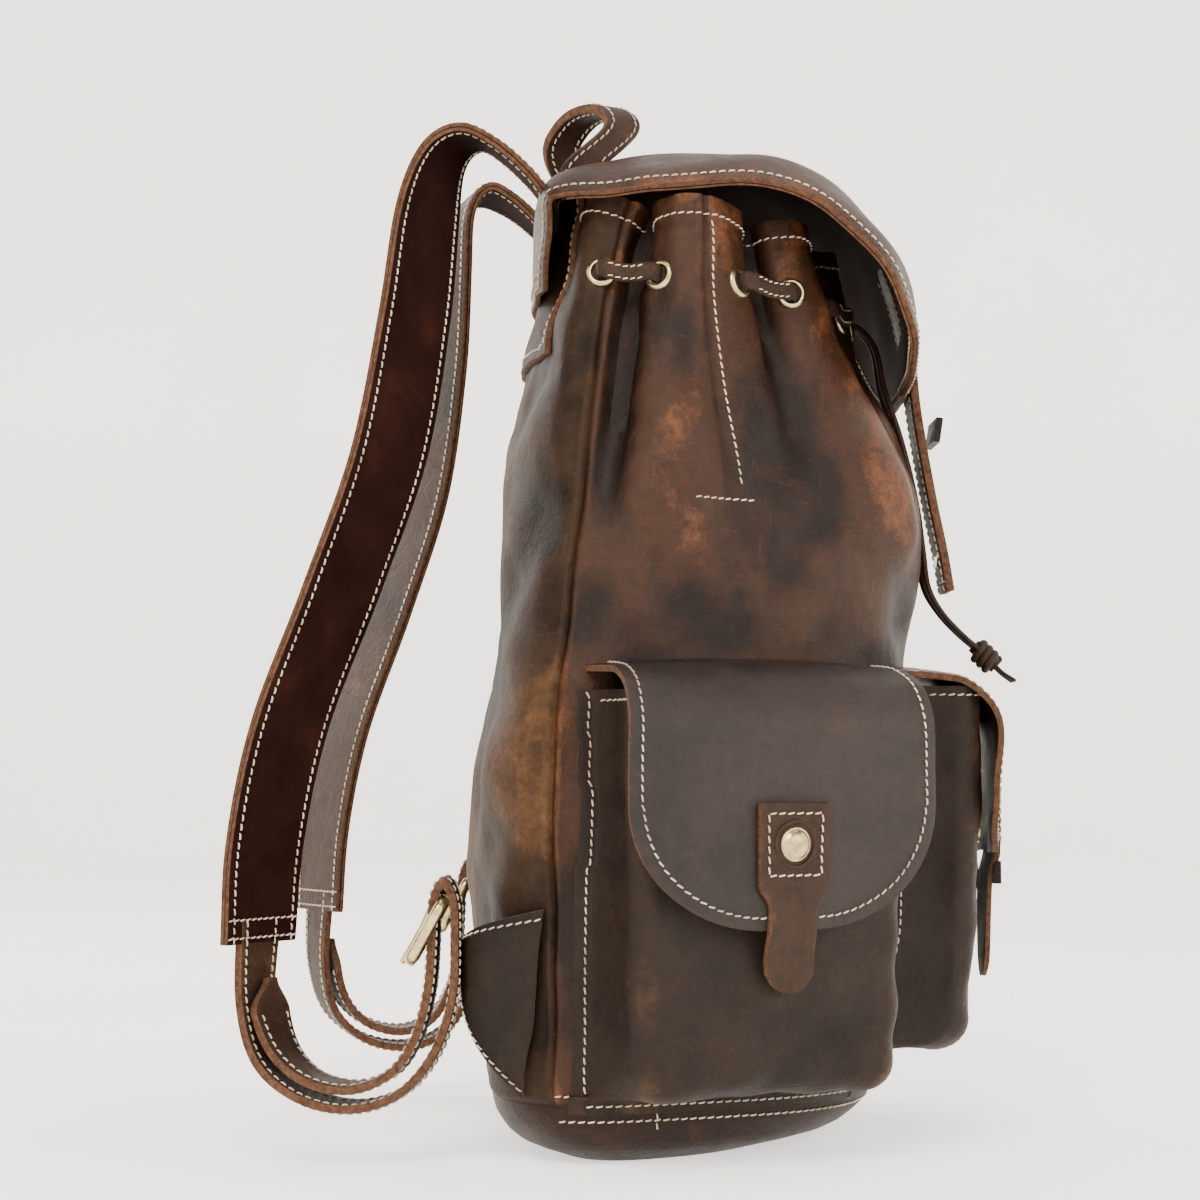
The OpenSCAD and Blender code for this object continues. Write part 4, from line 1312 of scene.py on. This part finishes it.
def sheet_from(flap, rows_v, half, lift):
    """Grid of a cut piece lying on the flap's shape."""
    u = np.linspace(-1, 1, 41)
    vv = np.repeat(np.asarray(rows_v)[:, None], len(u), 1)
    xx = u[None] * np.asarray(half)[:, None]
    return flap.at(xx, vv, lift), xx, vv


def outward(grid, place, extra=None):
    """Turns a grid's columns round, if need be, so that its outside faces away from the bag."""
    normals = grid_normals(grid)
    middle = normals[int(grid.shape[0] * 0.6), grid.shape[1] // 2, :2]
    if float(middle @ place.out) > 0:
        return (grid, extra)
    return (grid[:, ::-1], None if extra is None else extra[:, ::-1])


def build_flap(name, flap, tab_top, tab_end, rivet_v, body, mirror, nodes):
    """A pocket's flap with its sewn tab, stitches and rivet."""
    place = flap.place
    rows = np.concatenate([np.linspace(0, flap.drop_v - flap.tip_r, 44),
                           flap.drop_v - flap.tip_r + flap.tip_r
                           * np.sin(np.radians(np.linspace(0, 90, 26)[1:]))])
    grid, xx, vv = sheet_from(flap, rows, flap.half(rows), 2.6)
    wear = 0.45 + 0.1 * ripple(grid, 50, flap.seed + 5) + 0.3 * np.abs(xx / flap.half(vv)) ** 12
    wear = wear + 0.35 * np.exp(-((vv - 42) / 14) ** 2)
    grid, wear = outward(grid, place, wear)
    lines = [flap.line(*flap_outline(flap, 5.0), 2.75)]
    half, split = 16.0, 11.0
    tab_rows = np.concatenate([np.linspace(tab_top, tab_top + 32, 12),
                               np.linspace(tab_top + 34, tab_top + 41, 5),
                               np.linspace(tab_top + 43, tab_end - split, 10),
                               tab_end - split + split * np.sin(np.radians(np.linspace(0, 86, 9)[1:]))])
    into = np.clip(tab_rows - (tab_end - split), 0, split)
    tab_half = half + (split - half) * step_up(tab_rows, tab_top + 32, tab_top + 41)
    tab_half = tab_half - split + np.sqrt(np.maximum(split ** 2 - into ** 2, 0.04))
    over = 5.0 - 2.2 * step_up(tab_rows, flap.drop_v, flap.drop_v + 12)
    u = np.linspace(-1, 1, 15)
    tab_v = np.repeat(tab_rows[:, None], len(u), 1)
    tab_grid = flap.at(u[None] * tab_half[:, None], tab_v, over[:, None])
    tab_wear = 0.5 + 0.35 * np.abs(u[None]) ** 6 + 0 * tab_v
    tab_grid, tab_wear = outward(tab_grid, place, tab_wear)
    box = np.array([(-12.2, 3.8), (12.2, 3.8), (12.2, 28.2), (-12.2, 28.2), (-12.2, 3.8)])
    for a, b in zip(box[:-1], box[1:]):
        side = np.linspace(a, b, 10)
        lines.append(flap.line(side[:, 0], tab_top + side[:, 1], 5.15))
    spot, normal = flap.line(np.zeros(1), np.array([rivet_v]), 5.0)
    spot, normal = spot[0], normal[0]
    if mirror:
        grid, wear, tab_grid, tab_wear = mirrored(grid), wear[:, ::-1], mirrored(tab_grid), tab_wear[:, ::-1]
        lines = [mirrored_line(line) for line in lines]
        spot, normal = spot * np.array([-1, 1, 1]), normal * np.array([-1, 1, 1])
    pieces = [sheet_piece(f"{name}_flap_leather", grid, 2.6, ["flap_hide", "edge"], body,
                          np.clip(wear, 0, 1),
                          replaces=[f"{name}_flap"]),
              sheet_piece(f"{name}_tab_leather", tab_grid, 2.3, ["strap_hide", "edge"], body,
                          np.clip(tab_wear, 0, 1),
                          replaces=[f"{name}_tab"], round_mm=0.6)]
    stitch_row(f"{name}_flap_stitches", lines, body, 3.9)
    if nodes:
        dome = [(0.0, 3.3), (1.6, 3.2), (3.2, 2.8), (4.6, 2.15), (5.6, 1.3), (6.1, 0.6), (6.5, 0.55),
                (6.8, 0.3),
                (6.8, -0.3), (0.0, -0.3)]
        points, faces = turned_mesh(dome, spot, normal, 48)
        rivet = new_piece(f"{name}_rivet_cap", points, faces, ["brass"], None, None, body, 50)
        weld(rivet)
        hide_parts(*nodes)
        ring = [(8.2, -0.2), (8.4, 0.35), (9.0, 0.5), (9.6, 0.35), (9.8, -0.2), (8.2, -0.2)]
        points, faces = turned_mesh(ring, spot, normal, 48)
        weld(new_piece(f"{name}_pressed_ring", points, faces, ["strap_hide"], None,
                       np.full(len(points), 0.7), body, 60))
    return pieces


SIDE_TURN = math.radians(25)


def side_place(body):
    across = (math.sin(SIDE_TURN), -math.cos(SIDE_TURN))
    out = (-math.cos(SIDE_TURN), -math.sin(SIDE_TURN))
    return PocketPlace(body, (-117.7, -10.2), across, out, (95, 275), (126, 36), 28, 192)


def front_place(body):
    return PocketPlace(body, (0.0, -83.0), (1.0, 0.0), (0.0, -1.0), (195, 345), (122, 36), 40, 196)


SIDE_FLAP_PATH = [[3, 203], [14, 202.5], [25, 199.5], [34, 194], [40, 184], [42, 172], [42, 150], [41, 120],
                  [40, 94], [39.5, 62]]
FRONT_FLAP_PATH = [[11, 203], [18, 202.6], [26, 200], [34, 194], [39.5, 185], [41.6, 172], [41.6, 150],
                   [41, 120],
                   [40.5, 90], [40, 54]]


def build_side_pockets(body):
    """Both side pockets with their flaps."""
    place = side_place(body)
    flap = FlapShape(place, SIDE_FLAP_PATH, 66, 69, 132, 50, 31)
    for name, mirror in (("left", False), ("right", True)):
        build_pocket(name, place, [f"{name}_pocket_gusset", f"{name}_pocket_front"], 21, mirror)
        build_flap(name, flap, 82, 157, 98, f"{name}_flap", mirror, [f"{name}_rivet"])


def build_front_pocket(body):
    """The front pocket, its shorter flap and the flap's tab."""
    place = front_place(body)
    flap = FlapShape(place, FRONT_FLAP_PATH, 62, 65, 98, 38, 41)
    build_pocket("front", place, ["front_pocket_gusset", "front_pocket_front"], 51, False)
    build_flap("front", flap, 66, 154, 84, "front_flap", False, [])


# ---- grab loop, straps and buckles ----

def turned_about_z(v, angle):
    c, s = np.cos(angle), np.sin(angle)
    return np.stack([v[..., 0] * c - v[..., 1] * s, v[..., 0] * s + v[..., 1] * c, v[..., 2]], -1)


def build_grab_loop():
    """The grab loop: a doubled strap stitched along both edges, bent into the yoke."""
    line = through([[-24, 421], [-25.5, 436], [-21, 451], [-9, 458.5], [9, 458.5], [21, 451], [25.5, 436],
                    [24, 421]], 8)
    path = np.stack([line[:, 0], np.zeros(len(line)), line[:, 1]], -1)
    grid, lift = strap_mesh(path, np.tile([0, 1.0, 0], (len(path), 1)), 19, 2.0)
    if lift[len(lift) // 2, 2] < 0:
        grid, lift = strap_mesh(path, np.tile([0, -1.0, 0], (len(path), 1)), 19, 2.0)
    normals = np.repeat(lift[:, None], 9, 1)
    twist = math.radians(38) * step_up(grid[..., 2], 424, 452)
    grid, normals = (turned_about_z(v, twist) for v in (grid, normals))
    grid[..., 1] += 56.0 - 7.0 * step_up(grid[..., 2], 424, 460)
    wear = 0.6 + 0.1 * ripple(grid, 20, 61)
    piece = sheet_piece("grab_loop_leather", grid, 4.2, ["strap_hide", "edge"], None, np.clip(wear, 0, 1),
                        replaces=["grab_loop"])
    stitches = stitch_row("grab_loop_stitches", [edge_line(grid, normals, s) for s in (0.17, 0.83)]
                          + [edge_line(grid - normals * 4.2, -normals, s) for s in (0.17, 0.83)], None, 3.8,
                          radius=0.38)
    for part in (piece, stitches):
        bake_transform(part)


WIDE_STRAP = [
    [(-54, 67, 404), 40, (1, -0.02, 0)], [(-57, 76, 416), 42, (1, -0.05, 0)],
    [(-60, 90, 428), 44, (1, -0.1, 0)], [(-64, 103, 433), 46, (1, -0.2, 0)],
    [(-70, 114, 423), 46, (1, -0.35, 0)], [(-80, 121, 396), 46, (0.9, -0.5, 0)],
    [(-92, 127, 350), 46, (0.84, -0.55, 0)], [(-103, 136, 290), 46, (0.81, -0.58, 0)],
    [(-113, 153, 235), 46, (0.81, -0.58, 0)], [(-121, 172, 180), 46, (0.82, -0.56, 0)],
    [(-125, 182, 130), 46, (0.84, -0.54, 0)], [(-127, 185, 90), 46, (0.86, -0.5, 0)]]

TAIL_LINE = [[-127, 185, 100], [-128, 186, 66], [-128, 180, 42], [-127, 164, 28], [-125, 144, 24],
             [-121, 126, 30], [-117, 113, 46], [-114.5, 106.5, 68], [-114, 105.5, 90], [-114, 106, 106],
             [-114, 110, 114.5], [-114, 114, 106], [-114, 114.5, 90], [-115, 116, 70], [-117, 121, 51],
             [-121, 130, 37.5], [-125, 145, 31.5], [-127, 162, 35], [-128, 174, 46], [-128, 180, 62],
             [-127.5, 180.5, 76]]
TAIL_SIDES = [(0, (0.86, -0.5, 0)), (3, (0.96, -0.2, 0)), (7, (1, 0, 0)), (14, (1, -0.05, 0)),
              (17, (0.96, -0.2, 0)), (20, (0.86, -0.5, 0))]


def strap_lines(grid, normals, shares):
    return [edge_line(grid, normals, share) for share in shares]


def build_straps():
    """Both shoulder straps: padded-width upper strap with its lining, and the narrow strap to the buckle."""
    steps = 16
    path = through([s[0] for s in WIDE_STRAP], steps)
    width = through([s[1] for s in WIDE_STRAP], steps)[:, 0]
    sides = through([s[2] for s in WIDE_STRAP], steps)
    path = path + unit(np.cross(sides, np.gradient(path, axis=0))) * (ripple(path, 120, 71) * 1.2)[:, None]
    outer, lift = strap_mesh(path, sides, width, 2.0)
    normals = np.repeat(lift[:, None], 9, 1)
    inner = outer - normals * 2.1
    wear = 0.5 + 0.12 * ripple(outer, 60, 72) + 0.3 * np.abs(np.linspace(-1, 1, 9))[None] ** 5
    tail_path = through(TAIL_LINE, 8)
    count = np.linspace(0, len(TAIL_LINE) - 1, len(tail_path))
    tail_sides = np.stack([np.interp(count, [s[0] for s in TAIL_SIDES], [s[1][k] for s in TAIL_SIDES])
                           for k in range(3)], -1)
    tail_width = millimetres("tail_width") * (1 - 0.75 * step_up(count, 19.0, 20.0))
    tail, tail_lift = strap_mesh(tail_path, tail_sides, tail_width, 1.6)
    tail_normals = np.repeat(tail_lift[:, None], 9, 1)
    tail_wear = 0.55 + 0.15 * ripple(tail, 35, 73) + 0.3 * np.abs(np.linspace(-1, 1, 9))[None] ** 5
    lines = strap_lines(outer, normals, (0.085, 0.915)) + strap_lines(inner - normals * 1.9, -normals,
                                                                      (0.085, 0.915))
    for row in (-2, -5):
        lines.append((outer[row] + normals[row] * 0.12, normals[row]))
        lines.append((inner[row] - normals[row] * 2.05, -normals[row]))
    tail_lines = (strap_lines(tail[:-8], tail_normals[:-8], (0.13, 0.87))
                  + strap_lines(tail[:-8] - tail_normals[:-8] * 3.2, -tail_normals[:-8], (0.13, 0.87)))
    for name, mirror in (("left", False), ("right", True)):
        flip = mirrored if mirror else np.array
        pick = (lambda v: v[:, ::-1]) if mirror else (lambda v: v)
        turn = mirrored_line if mirror else (lambda line: line)
        body = f"{name}_strap"
        pieces = [
            sheet_piece(f"{name}_strap_leather", flip(outer), 2.0, ["strap_hide", "edge"], None,
                        pick(np.clip(wear, 0, 1)), replaces=[f"{name}_strap_outer"]),
            sheet_piece(f"{name}_strap_suede", flip(inner), 1.9, ["suede", "edge", "suede"], None,
                        replaces=[f"{name}_strap_lining"]),
            stitch_row(f"{name}_strap_stitches", [turn(line) for line in lines], None, 3.8, radius=0.38)]
        for piece in pieces:
            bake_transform(piece)
        sheet_piece(f"{name}_narrow_strap_leather", flip(tail), 3.2, ["strap_hide", "edge"], body,
                    pick(np.clip(tail_wear, 0, 1)), replaces=[f"{name}_strap_tail"])
        stitch_row(f"{name}_narrow_strap_stitches", [turn(line) for line in tail_lines], body, 3.8,
                   radius=0.4)


BUCKLE_AT = np.array([-114.0, 117.0, 94.5])
BUCKLE_TILT = math.radians(29)
BUCKLE_W, BUCKLE_H = 34.0, 28.0


def buckle_point(x, y, z):
    """A point of the buckle's own plane put in place: x across, y out of the plane, z along it."""
    c, s = math.cos(BUCKLE_TILT), math.sin(BUCKLE_TILT)
    return BUCKLE_AT + np.stack(np.broadcast_arrays(x, y * c - z * s, y * s + z * c), -1)


def build_buckles():
    """Cast brass buckle frames with their prongs."""
    r = 5.0
    corners = []
    for cx, cz, start in ((1, 1, 0), (-1, 1, 90), (-1, -1, 180), (1, -1, 270)):
        for a in np.radians(np.linspace(start, start + 90, 7)):
            corners.append((cx * (BUCKLE_W / 2 - r) + r * math.cos(a), 0.0, cz * (BUCKLE_H / 2 - r) + r
                            * math.sin(a)))
    corners = np.array(corners)
    ring = buckle_point(corners[:, 0], corners[:, 1], corners[:, 2])
    flat_way = buckle_point(0.0, 1.0, 0.0) - BUCKLE_AT
    prong = through([(0, 0.2, BUCKLE_H / 2 + 1.8), (0, 2.9, BUCKLE_H / 2 + 0.6), (0, 3.2, BUCKLE_H / 2 - 6),
                     (0, 2.6, 0), (0, 2.7, -BUCKLE_H / 2 + 4), (0, 3.1, -BUCKLE_H / 2 - 3)], 6)
    prong_path = buckle_point(prong[:, 0], prong[:, 1], prong[:, 2])
    for name, mirror in (("left", False), ("right", True)):
        flip = np.array([-1.0, 1, 1]) if mirror else np.array([1.0, 1, 1])
        tube_piece(f"{name}_buckle_frame", ring[::-1] * flip if mirror else ring * flip, 2.3, ["brass"],
                   f"{name}_strap",
                   12, True, 0.72, flat_way * flip, replaces=[f"{name}_buckle"])
        tube_piece(f"{name}_buckle_prong", prong_path * flip, np.linspace(1.9, 1.2, len(prong_path)),
                   ["brass"],
                   f"{name}_strap", 10, False, 1.0, (1, 0, 0), replaces=[f"{name}_prong"])


def build_anchors(body):
    """The triangular patches at the lower back corners that hold the buckles."""
    u = np.linspace(0, 1, 17)
    v = np.linspace(0, 1, 21)
    uu, vv = np.meshgrid(u, v)
    base = body.at(148.0 - 9.0 * vv, 104 - 78 * vv, 0.4)
    tip = np.stack([np.full_like(vv, -113.5), np.full_like(vv, 101.5), 91 - 16 * vv], -1)
    grid = base * (1 - uu)[..., None] + tip * uu[..., None]
    out = unit(np.array([-0.55, 0.83, 0.0]))
    grid = grid + out * (9.0 * np.sin(math.pi * uu) + 2.6)[..., None]
    normals = grid_normals(grid)
    if float(normals[10, 8] @ out) < 0:
        grid = grid[:, ::-1]
        normals = grid_normals(grid)
    wear = 0.4 + 0.1 * ripple(grid, 25, 81)
    lines = []
    for row in (1, -2):
        lines.append((grid[row] + normals[row] * 0.12, normals[row]))
    for name, mirror in (("left", False), ("right", True)):
        made = mirrored(grid) if mirror else grid
        # The anchors take the same darkened pocket_hide colours, partly the leather's own tone and partly
        # painted shade
        sheet_piece(f"{name}_anchor_leather", made, 2.4, ["pocket_hide", "edge"], "root",
                    np.clip(wear, 0, 1),
                    replaces=[f"{name}_anchor"])
        stitch_row(f"{name}_anchor_stitches", [mirrored_line(line) if mirror else line for line in lines],
                   "root", 3.8,
                   radius=0.38)


# ---- stage ----

FLOOR_RADIUS = 4.0
FLOOR_BEND = 0.8
FLOOR_SIDES = 96
WALL_HIGH = 3.4
LIT_POINT = Vector((0, 0, 0.2))
SENSOR_MM = 36
# lamp: its place and width in metres, its share of the key's power and its colour
LAMPS = {
    "key": ((-1.7, 0.45, 1.9), 1.2, 1.0, "#fff6ea"),
    "fill": ((-1.6, -1.5, 0.9), 1.8, 0.45, "#f2f5ff"),
    "top": ((0.3, -0.3, 2.2), 1.6, 0.55, "#ffffff"),
    "rim": ((1.4, 1.5, 1.2), 1.2, 0.4, "#ffffff"),
}


def build_stage(settings):
    """Pale floor with a round wall, soft lights and the camera."""
    flat = FLOOR_RADIUS - FLOOR_BEND
    profile = [(0.0, 0.0), (0.6, 0.0), (1.6, 0.0), (flat, 0.0)]
    profile += [(flat + FLOOR_BEND * math.sin(a), FLOOR_BEND - FLOOR_BEND * math.cos(a))
                for a in np.radians(np.arange(10, 91, 10))]
    profile += [(FLOOR_RADIUS, WALL_HIGH)]
    turn = np.arange(FLOOR_SIDES) * 2 * math.pi / FLOOR_SIDES
    points = np.concatenate([np.stack([r * np.cos(turn), r * np.sin(turn), np.full(FLOOR_SIDES, h)], -1)
                             for r, h in profile])
    mesh = bpy.data.meshes.new("studio_floor")
    mesh.from_pydata(points.tolist(), [], [list(map(int, f)) for f in grid_faces(len(profile), FLOOR_SIDES,
            True, 0, False)])
    mesh.materials.append(plaster())
    floor = bpy.data.objects.new("studio_floor", mesh)
    bpy.context.scene.collection.objects.link(floor)
    mesh.polygons.foreach_set("use_smooth", np.ones(len(mesh.polygons), bool))
    weld(floor)
    world = bpy.data.worlds.new("soft_sky")
    world.use_nodes = True
    world.node_tree.nodes["Background"].inputs[0].default_value = paint("#f4f1ec")
    world.node_tree.nodes["Background"].inputs[1].default_value = settings.sky_strength
    bpy.context.scene.world = world
    for name, (place, size, share, colour) in LAMPS.items():
        data = bpy.data.lights.new(name, "AREA")
        data.shape, data.size, data.color = "DISK", size, from_hex(colour)
        data.energy = settings.key_power * share
        lamp = bpy.data.objects.new(name, data)
        lamp.location = place
        lamp.rotation_euler = (LIT_POINT - Vector(place)).to_track_quat("-Z", "Y").to_euler()
        bpy.context.scene.collection.objects.link(lamp)
    data = bpy.data.cameras.new("camera")
    camera = bpy.data.objects.new("camera", data)
    bpy.context.scene.collection.objects.link(camera)
    azimuth = math.radians(settings.azimuth)
    spot = Vector((math.sin(azimuth), -math.cos(azimuth), 0)) * settings.distance
    spot.z = settings.eye_height
    camera.location = spot
    aim = Vector((0.0, settings.aim_y, settings.aim_z))
    camera.rotation_euler = (aim - spot).to_track_quat("-Z", "Y").to_euler()
    data.sensor_width = SENSOR_MM
    data.lens = settings.lens
    data.clip_start, data.clip_end = 0.1, 30
    bpy.context.scene.camera = camera


# ---- the add-on ----

def colour_property(name, description, text):
    return FloatVectorProperty(name=name, description=description, default=from_hex(text), size=3,
                               min=0.0, max=1.0, subtype="COLOR")


class ColourSettings(bpy.types.PropertyGroup):
    """Colours of the leather, as three shades of each hide."""
    hide_deep: colour_property("Bag deep", "Bag: dark, waxed leather", "#120905")
    hide_body: colour_property("Bag body", "Bag: leather's middle colour", "#301c10")
    hide_rubbed: colour_property("Bag rubbed", "Bag: leather where it is rubbed", "#724526")
    # Base colours: partly the leather's own dark tone, partly painted shade for the bag's shaded bottom
    base_hide_deep: colour_property("Base deep", "Base: dark, waxed leather", "#0d0704")
    base_hide_body: colour_property("Base body", "Base: leather's middle colour", "#1e110a")
    base_hide_rubbed: colour_property("Base rubbed", "Base: leather where it is rubbed", "#4a2c18")
    back_hide_deep: colour_property("Back deep", "Back: dark, waxed leather", "#130c07")
    back_hide_body: colour_property("Back body", "Back: leather's middle colour", "#2c1e13")
    back_hide_rubbed: colour_property("Back rubbed", "Back: leather where it is rubbed", "#5c4028")
    flap_hide_deep: colour_property("Flaps deep", "Flaps: dark, waxed leather", "#110c0a")
    flap_hide_body: colour_property("Flaps body", "Flaps: leather's middle colour", "#241a17")
    flap_hide_rubbed: colour_property("Flaps rubbed", "Flaps: leather where it is rubbed", "#413027")
    # Pocket colours: partly the leather's own dark tone, partly painted shade under the flaps and low on the
    # bag
    pocket_hide_deep: colour_property("Pockets deep", "Pockets: dark, waxed leather", "#0e0805")
    pocket_hide_body: colour_property("Pockets body", "Pockets: leather's middle colour", "#1e140d")
    pocket_hide_rubbed: colour_property("Pockets rubbed", "Pockets: leather where it is rubbed", "#4b3320")
    strap_hide_deep: colour_property("Straps deep", "Straps: dark, waxed leather", "#140c07")
    strap_hide_body: colour_property("Straps body", "Straps: leather's middle colour", "#2d1d13")
    strap_hide_rubbed: colour_property("Straps rubbed", "Straps: leather where it is rubbed", "#5c3f28")


class SizeSettings(bpy.types.PropertyGroup):
    """Widths of the laces and straps."""
    lace_width: FloatProperty(name="Lace width", description="Width of the drawstring's ends",
                              default=0.0044,
                              unit="LENGTH")
    lid_strap_width: FloatProperty(name="Lid strap width", description="Width of the lid's closing strap",
                                   default=0.028, unit="LENGTH")
    tail_width: FloatProperty(name="Tail width", description="Width of the narrow adjusting straps",
                              default=0.026, unit="LENGTH")


class StageSettings(bpy.types.PropertyGroup):
    """Camera and light."""
    azimuth: FloatProperty(name="Azimuth", description="Side the camera stands on, in degrees",
                           default=268.0)
    distance: FloatProperty(name="Distance", description="Camera's distance from the bag's middle",
                            default=1.3,
                            unit="LENGTH")
    eye_height: FloatProperty(name="Eye height", description="Camera's height above the floor",
                              default=0.164,
                              unit="LENGTH")
    aim_y: FloatProperty(name="Aim along Y", description="Where the camera aims, front to back",
                         default=0.0466,
                         unit="LENGTH")
    aim_z: FloatProperty(name="Aim height", description="Height the camera aims at", default=0.2364,
                         unit="LENGTH")
    lens: FloatProperty(name="Lens", description="Focal length in millimetres", default=86.2)
    key_power: FloatProperty(name="Key power", description="Power of the main light, in watts", default=55.0)
    sky_strength: FloatProperty(name="Sky", description="Strength of the even light from all round",
                                default=0.3)


class BACKPACK_OT_stage(bpy.types.Operator):
    """Makes the floor, the lights and the camera"""
    bl_idname = "backpack.stage"
    bl_label = "Stage"

    def execute(self, context):
        build_stage(context.scene.backpack_stage)
        return {"FINISHED"}


SHAPE = {}


def shape():
    """The body's shape and the finishes, made once."""
    finishes()
    if "body" not in SHAPE:
        SHAPE["body"] = Body()
    return SHAPE["body"]


class BACKPACK_OT_string_ends(bpy.types.Operator):
    """Makes the drawstring's loose ends and their knot"""
    bl_idname = "backpack.string_ends"
    bl_label = "String ends"

    def execute(self, context):
        shape()
        build_string_ends()
        return {"FINISHED"}


class BACKPACK_OT_panels(bpy.types.Operator):
    """Makes the back and front panels"""
    bl_idname = "backpack.panels"
    bl_label = "Body panels"

    def execute(self, context):
        build_panels(shape())
        return {"FINISHED"}


class BACKPACK_OT_base(bpy.types.Operator):
    """Makes the base panel"""
    bl_idname = "backpack.base"
    bl_label = "Base"

    def execute(self, context):
        build_base(shape())
        return {"FINISHED"}


class BACKPACK_OT_lining(bpy.types.Operator):
    """Makes the cloth lining"""
    bl_idname = "backpack.lining"
    bl_label = "Lining"

    def execute(self, context):
        build_lining(shape())
        return {"FINISHED"}


class BACKPACK_OT_yoke(bpy.types.Operator):
    """Makes the patch over the top of the back"""
    bl_idname = "backpack.yoke"
    bl_label = "Back yoke"

    def execute(self, context):
        build_yoke(shape())
        return {"FINISHED"}


class BACKPACK_OT_eyelets(bpy.types.Operator):
    """Makes the eyelets round the mouth"""
    bl_idname = "backpack.eyelets"
    bl_label = "Eyelets"

    def execute(self, context):
        build_eyelets(shape())
        return {"FINISHED"}


class BACKPACK_OT_drawstring(bpy.types.Operator):
    """Makes the lace through the eyelets"""
    bl_idname = "backpack.drawstring"
    bl_label = "Drawstring"

    def execute(self, context):
        build_drawstring(shape())
        return {"FINISHED"}


class BACKPACK_OT_lid(bpy.types.Operator):
    """Makes the lid"""
    bl_idname = "backpack.lid"
    bl_label = "Lid"

    def execute(self, context):
        shape()
        build_lid()
        return {"FINISHED"}


class BACKPACK_OT_lid_strap(bpy.types.Operator):
    """Makes the lid's closing strap"""
    bl_idname = "backpack.lid_strap"
    bl_label = "Lid strap"

    def execute(self, context):
        shape()
        build_lid_strap()
        return {"FINISHED"}


class BACKPACK_OT_side_pockets(bpy.types.Operator):
    """Makes both side pockets and their flaps"""
    bl_idname = "backpack.side_pockets"
    bl_label = "Side pockets"

    def execute(self, context):
        build_side_pockets(shape())
        return {"FINISHED"}


class BACKPACK_OT_front_pocket(bpy.types.Operator):
    """Makes the front pocket and its flap"""
    bl_idname = "backpack.front_pocket"
    bl_label = "Front pocket"

    def execute(self, context):
        build_front_pocket(shape())
        return {"FINISHED"}


class BACKPACK_OT_grab_loop(bpy.types.Operator):
    """Makes the grab loop"""
    bl_idname = "backpack.grab_loop"
    bl_label = "Grab loop"

    def execute(self, context):
        shape()
        build_grab_loop()
        return {"FINISHED"}


class BACKPACK_OT_straps(bpy.types.Operator):
    """Makes both shoulder straps"""
    bl_idname = "backpack.straps"
    bl_label = "Shoulder straps"

    def execute(self, context):
        shape()
        build_straps()
        return {"FINISHED"}


class BACKPACK_OT_buckles(bpy.types.Operator):
    """Makes the buckles and prongs"""
    bl_idname = "backpack.buckles"
    bl_label = "Buckles"

    def execute(self, context):
        shape()
        build_buckles()
        return {"FINISHED"}


class BACKPACK_OT_anchors(bpy.types.Operator):
    """Makes the patches that hold the buckles"""
    bl_idname = "backpack.anchors"
    bl_label = "Anchor patches"

    def execute(self, context):
        build_anchors(shape())
        return {"FINISHED"}


class BACKPACK_OT_snaps(bpy.types.Operator):
    """Finishes the snaps, keepers and board"""
    bl_idname = "backpack.snaps"
    bl_label = "Snaps and board"

    def execute(self, context):
        shape()
        place_nodes()
        return {"FINISHED"}


OPERATORS = [
    BACKPACK_OT_stage, BACKPACK_OT_string_ends, BACKPACK_OT_panels, BACKPACK_OT_base, BACKPACK_OT_lining,
    BACKPACK_OT_yoke, BACKPACK_OT_eyelets, BACKPACK_OT_drawstring, BACKPACK_OT_lid, BACKPACK_OT_lid_strap,
    BACKPACK_OT_side_pockets, BACKPACK_OT_front_pocket, BACKPACK_OT_grab_loop, BACKPACK_OT_straps,
    BACKPACK_OT_buckles, BACKPACK_OT_anchors, BACKPACK_OT_snaps]


class BACKPACK_PT_panel(bpy.types.Panel):
    """Lists the backpack's builders"""
    bl_label = "Backpack"
    bl_idname = "BACKPACK_PT_panel"
    bl_space_type = "VIEW_3D"
    bl_region_type = "UI"
    bl_category = "Backpack"

    def draw(self, context):
        for made in OPERATORS:
            self.layout.operator(made.bl_idname)
        for group in (context.scene.backpack_sizes, context.scene.backpack_colours,
                      context.scene.backpack_stage):
            for name in group.__annotations__:
                self.layout.prop(group, name)


CLASSES = [ColourSettings, SizeSettings, StageSettings, *OPERATORS, BACKPACK_PT_panel]


def register():
    for made in CLASSES:
        bpy.utils.register_class(made)
    bpy.types.Scene.backpack_stage = PointerProperty(type=StageSettings)
    bpy.types.Scene.backpack_colours = PointerProperty(type=ColourSettings)
    bpy.types.Scene.backpack_sizes = PointerProperty(type=SizeSettings)


def unregister():
    del bpy.types.Scene.backpack_stage, bpy.types.Scene.backpack_colours, bpy.types.Scene.backpack_sizes
    for made in reversed(CLASSES):
        bpy.utils.unregister_class(made)


def main():
    register()
    for made in OPERATORS:
        group, name = made.bl_idname.split(".")
        getattr(getattr(bpy.ops, group), name)()


if __name__ == "__main__":
    main()
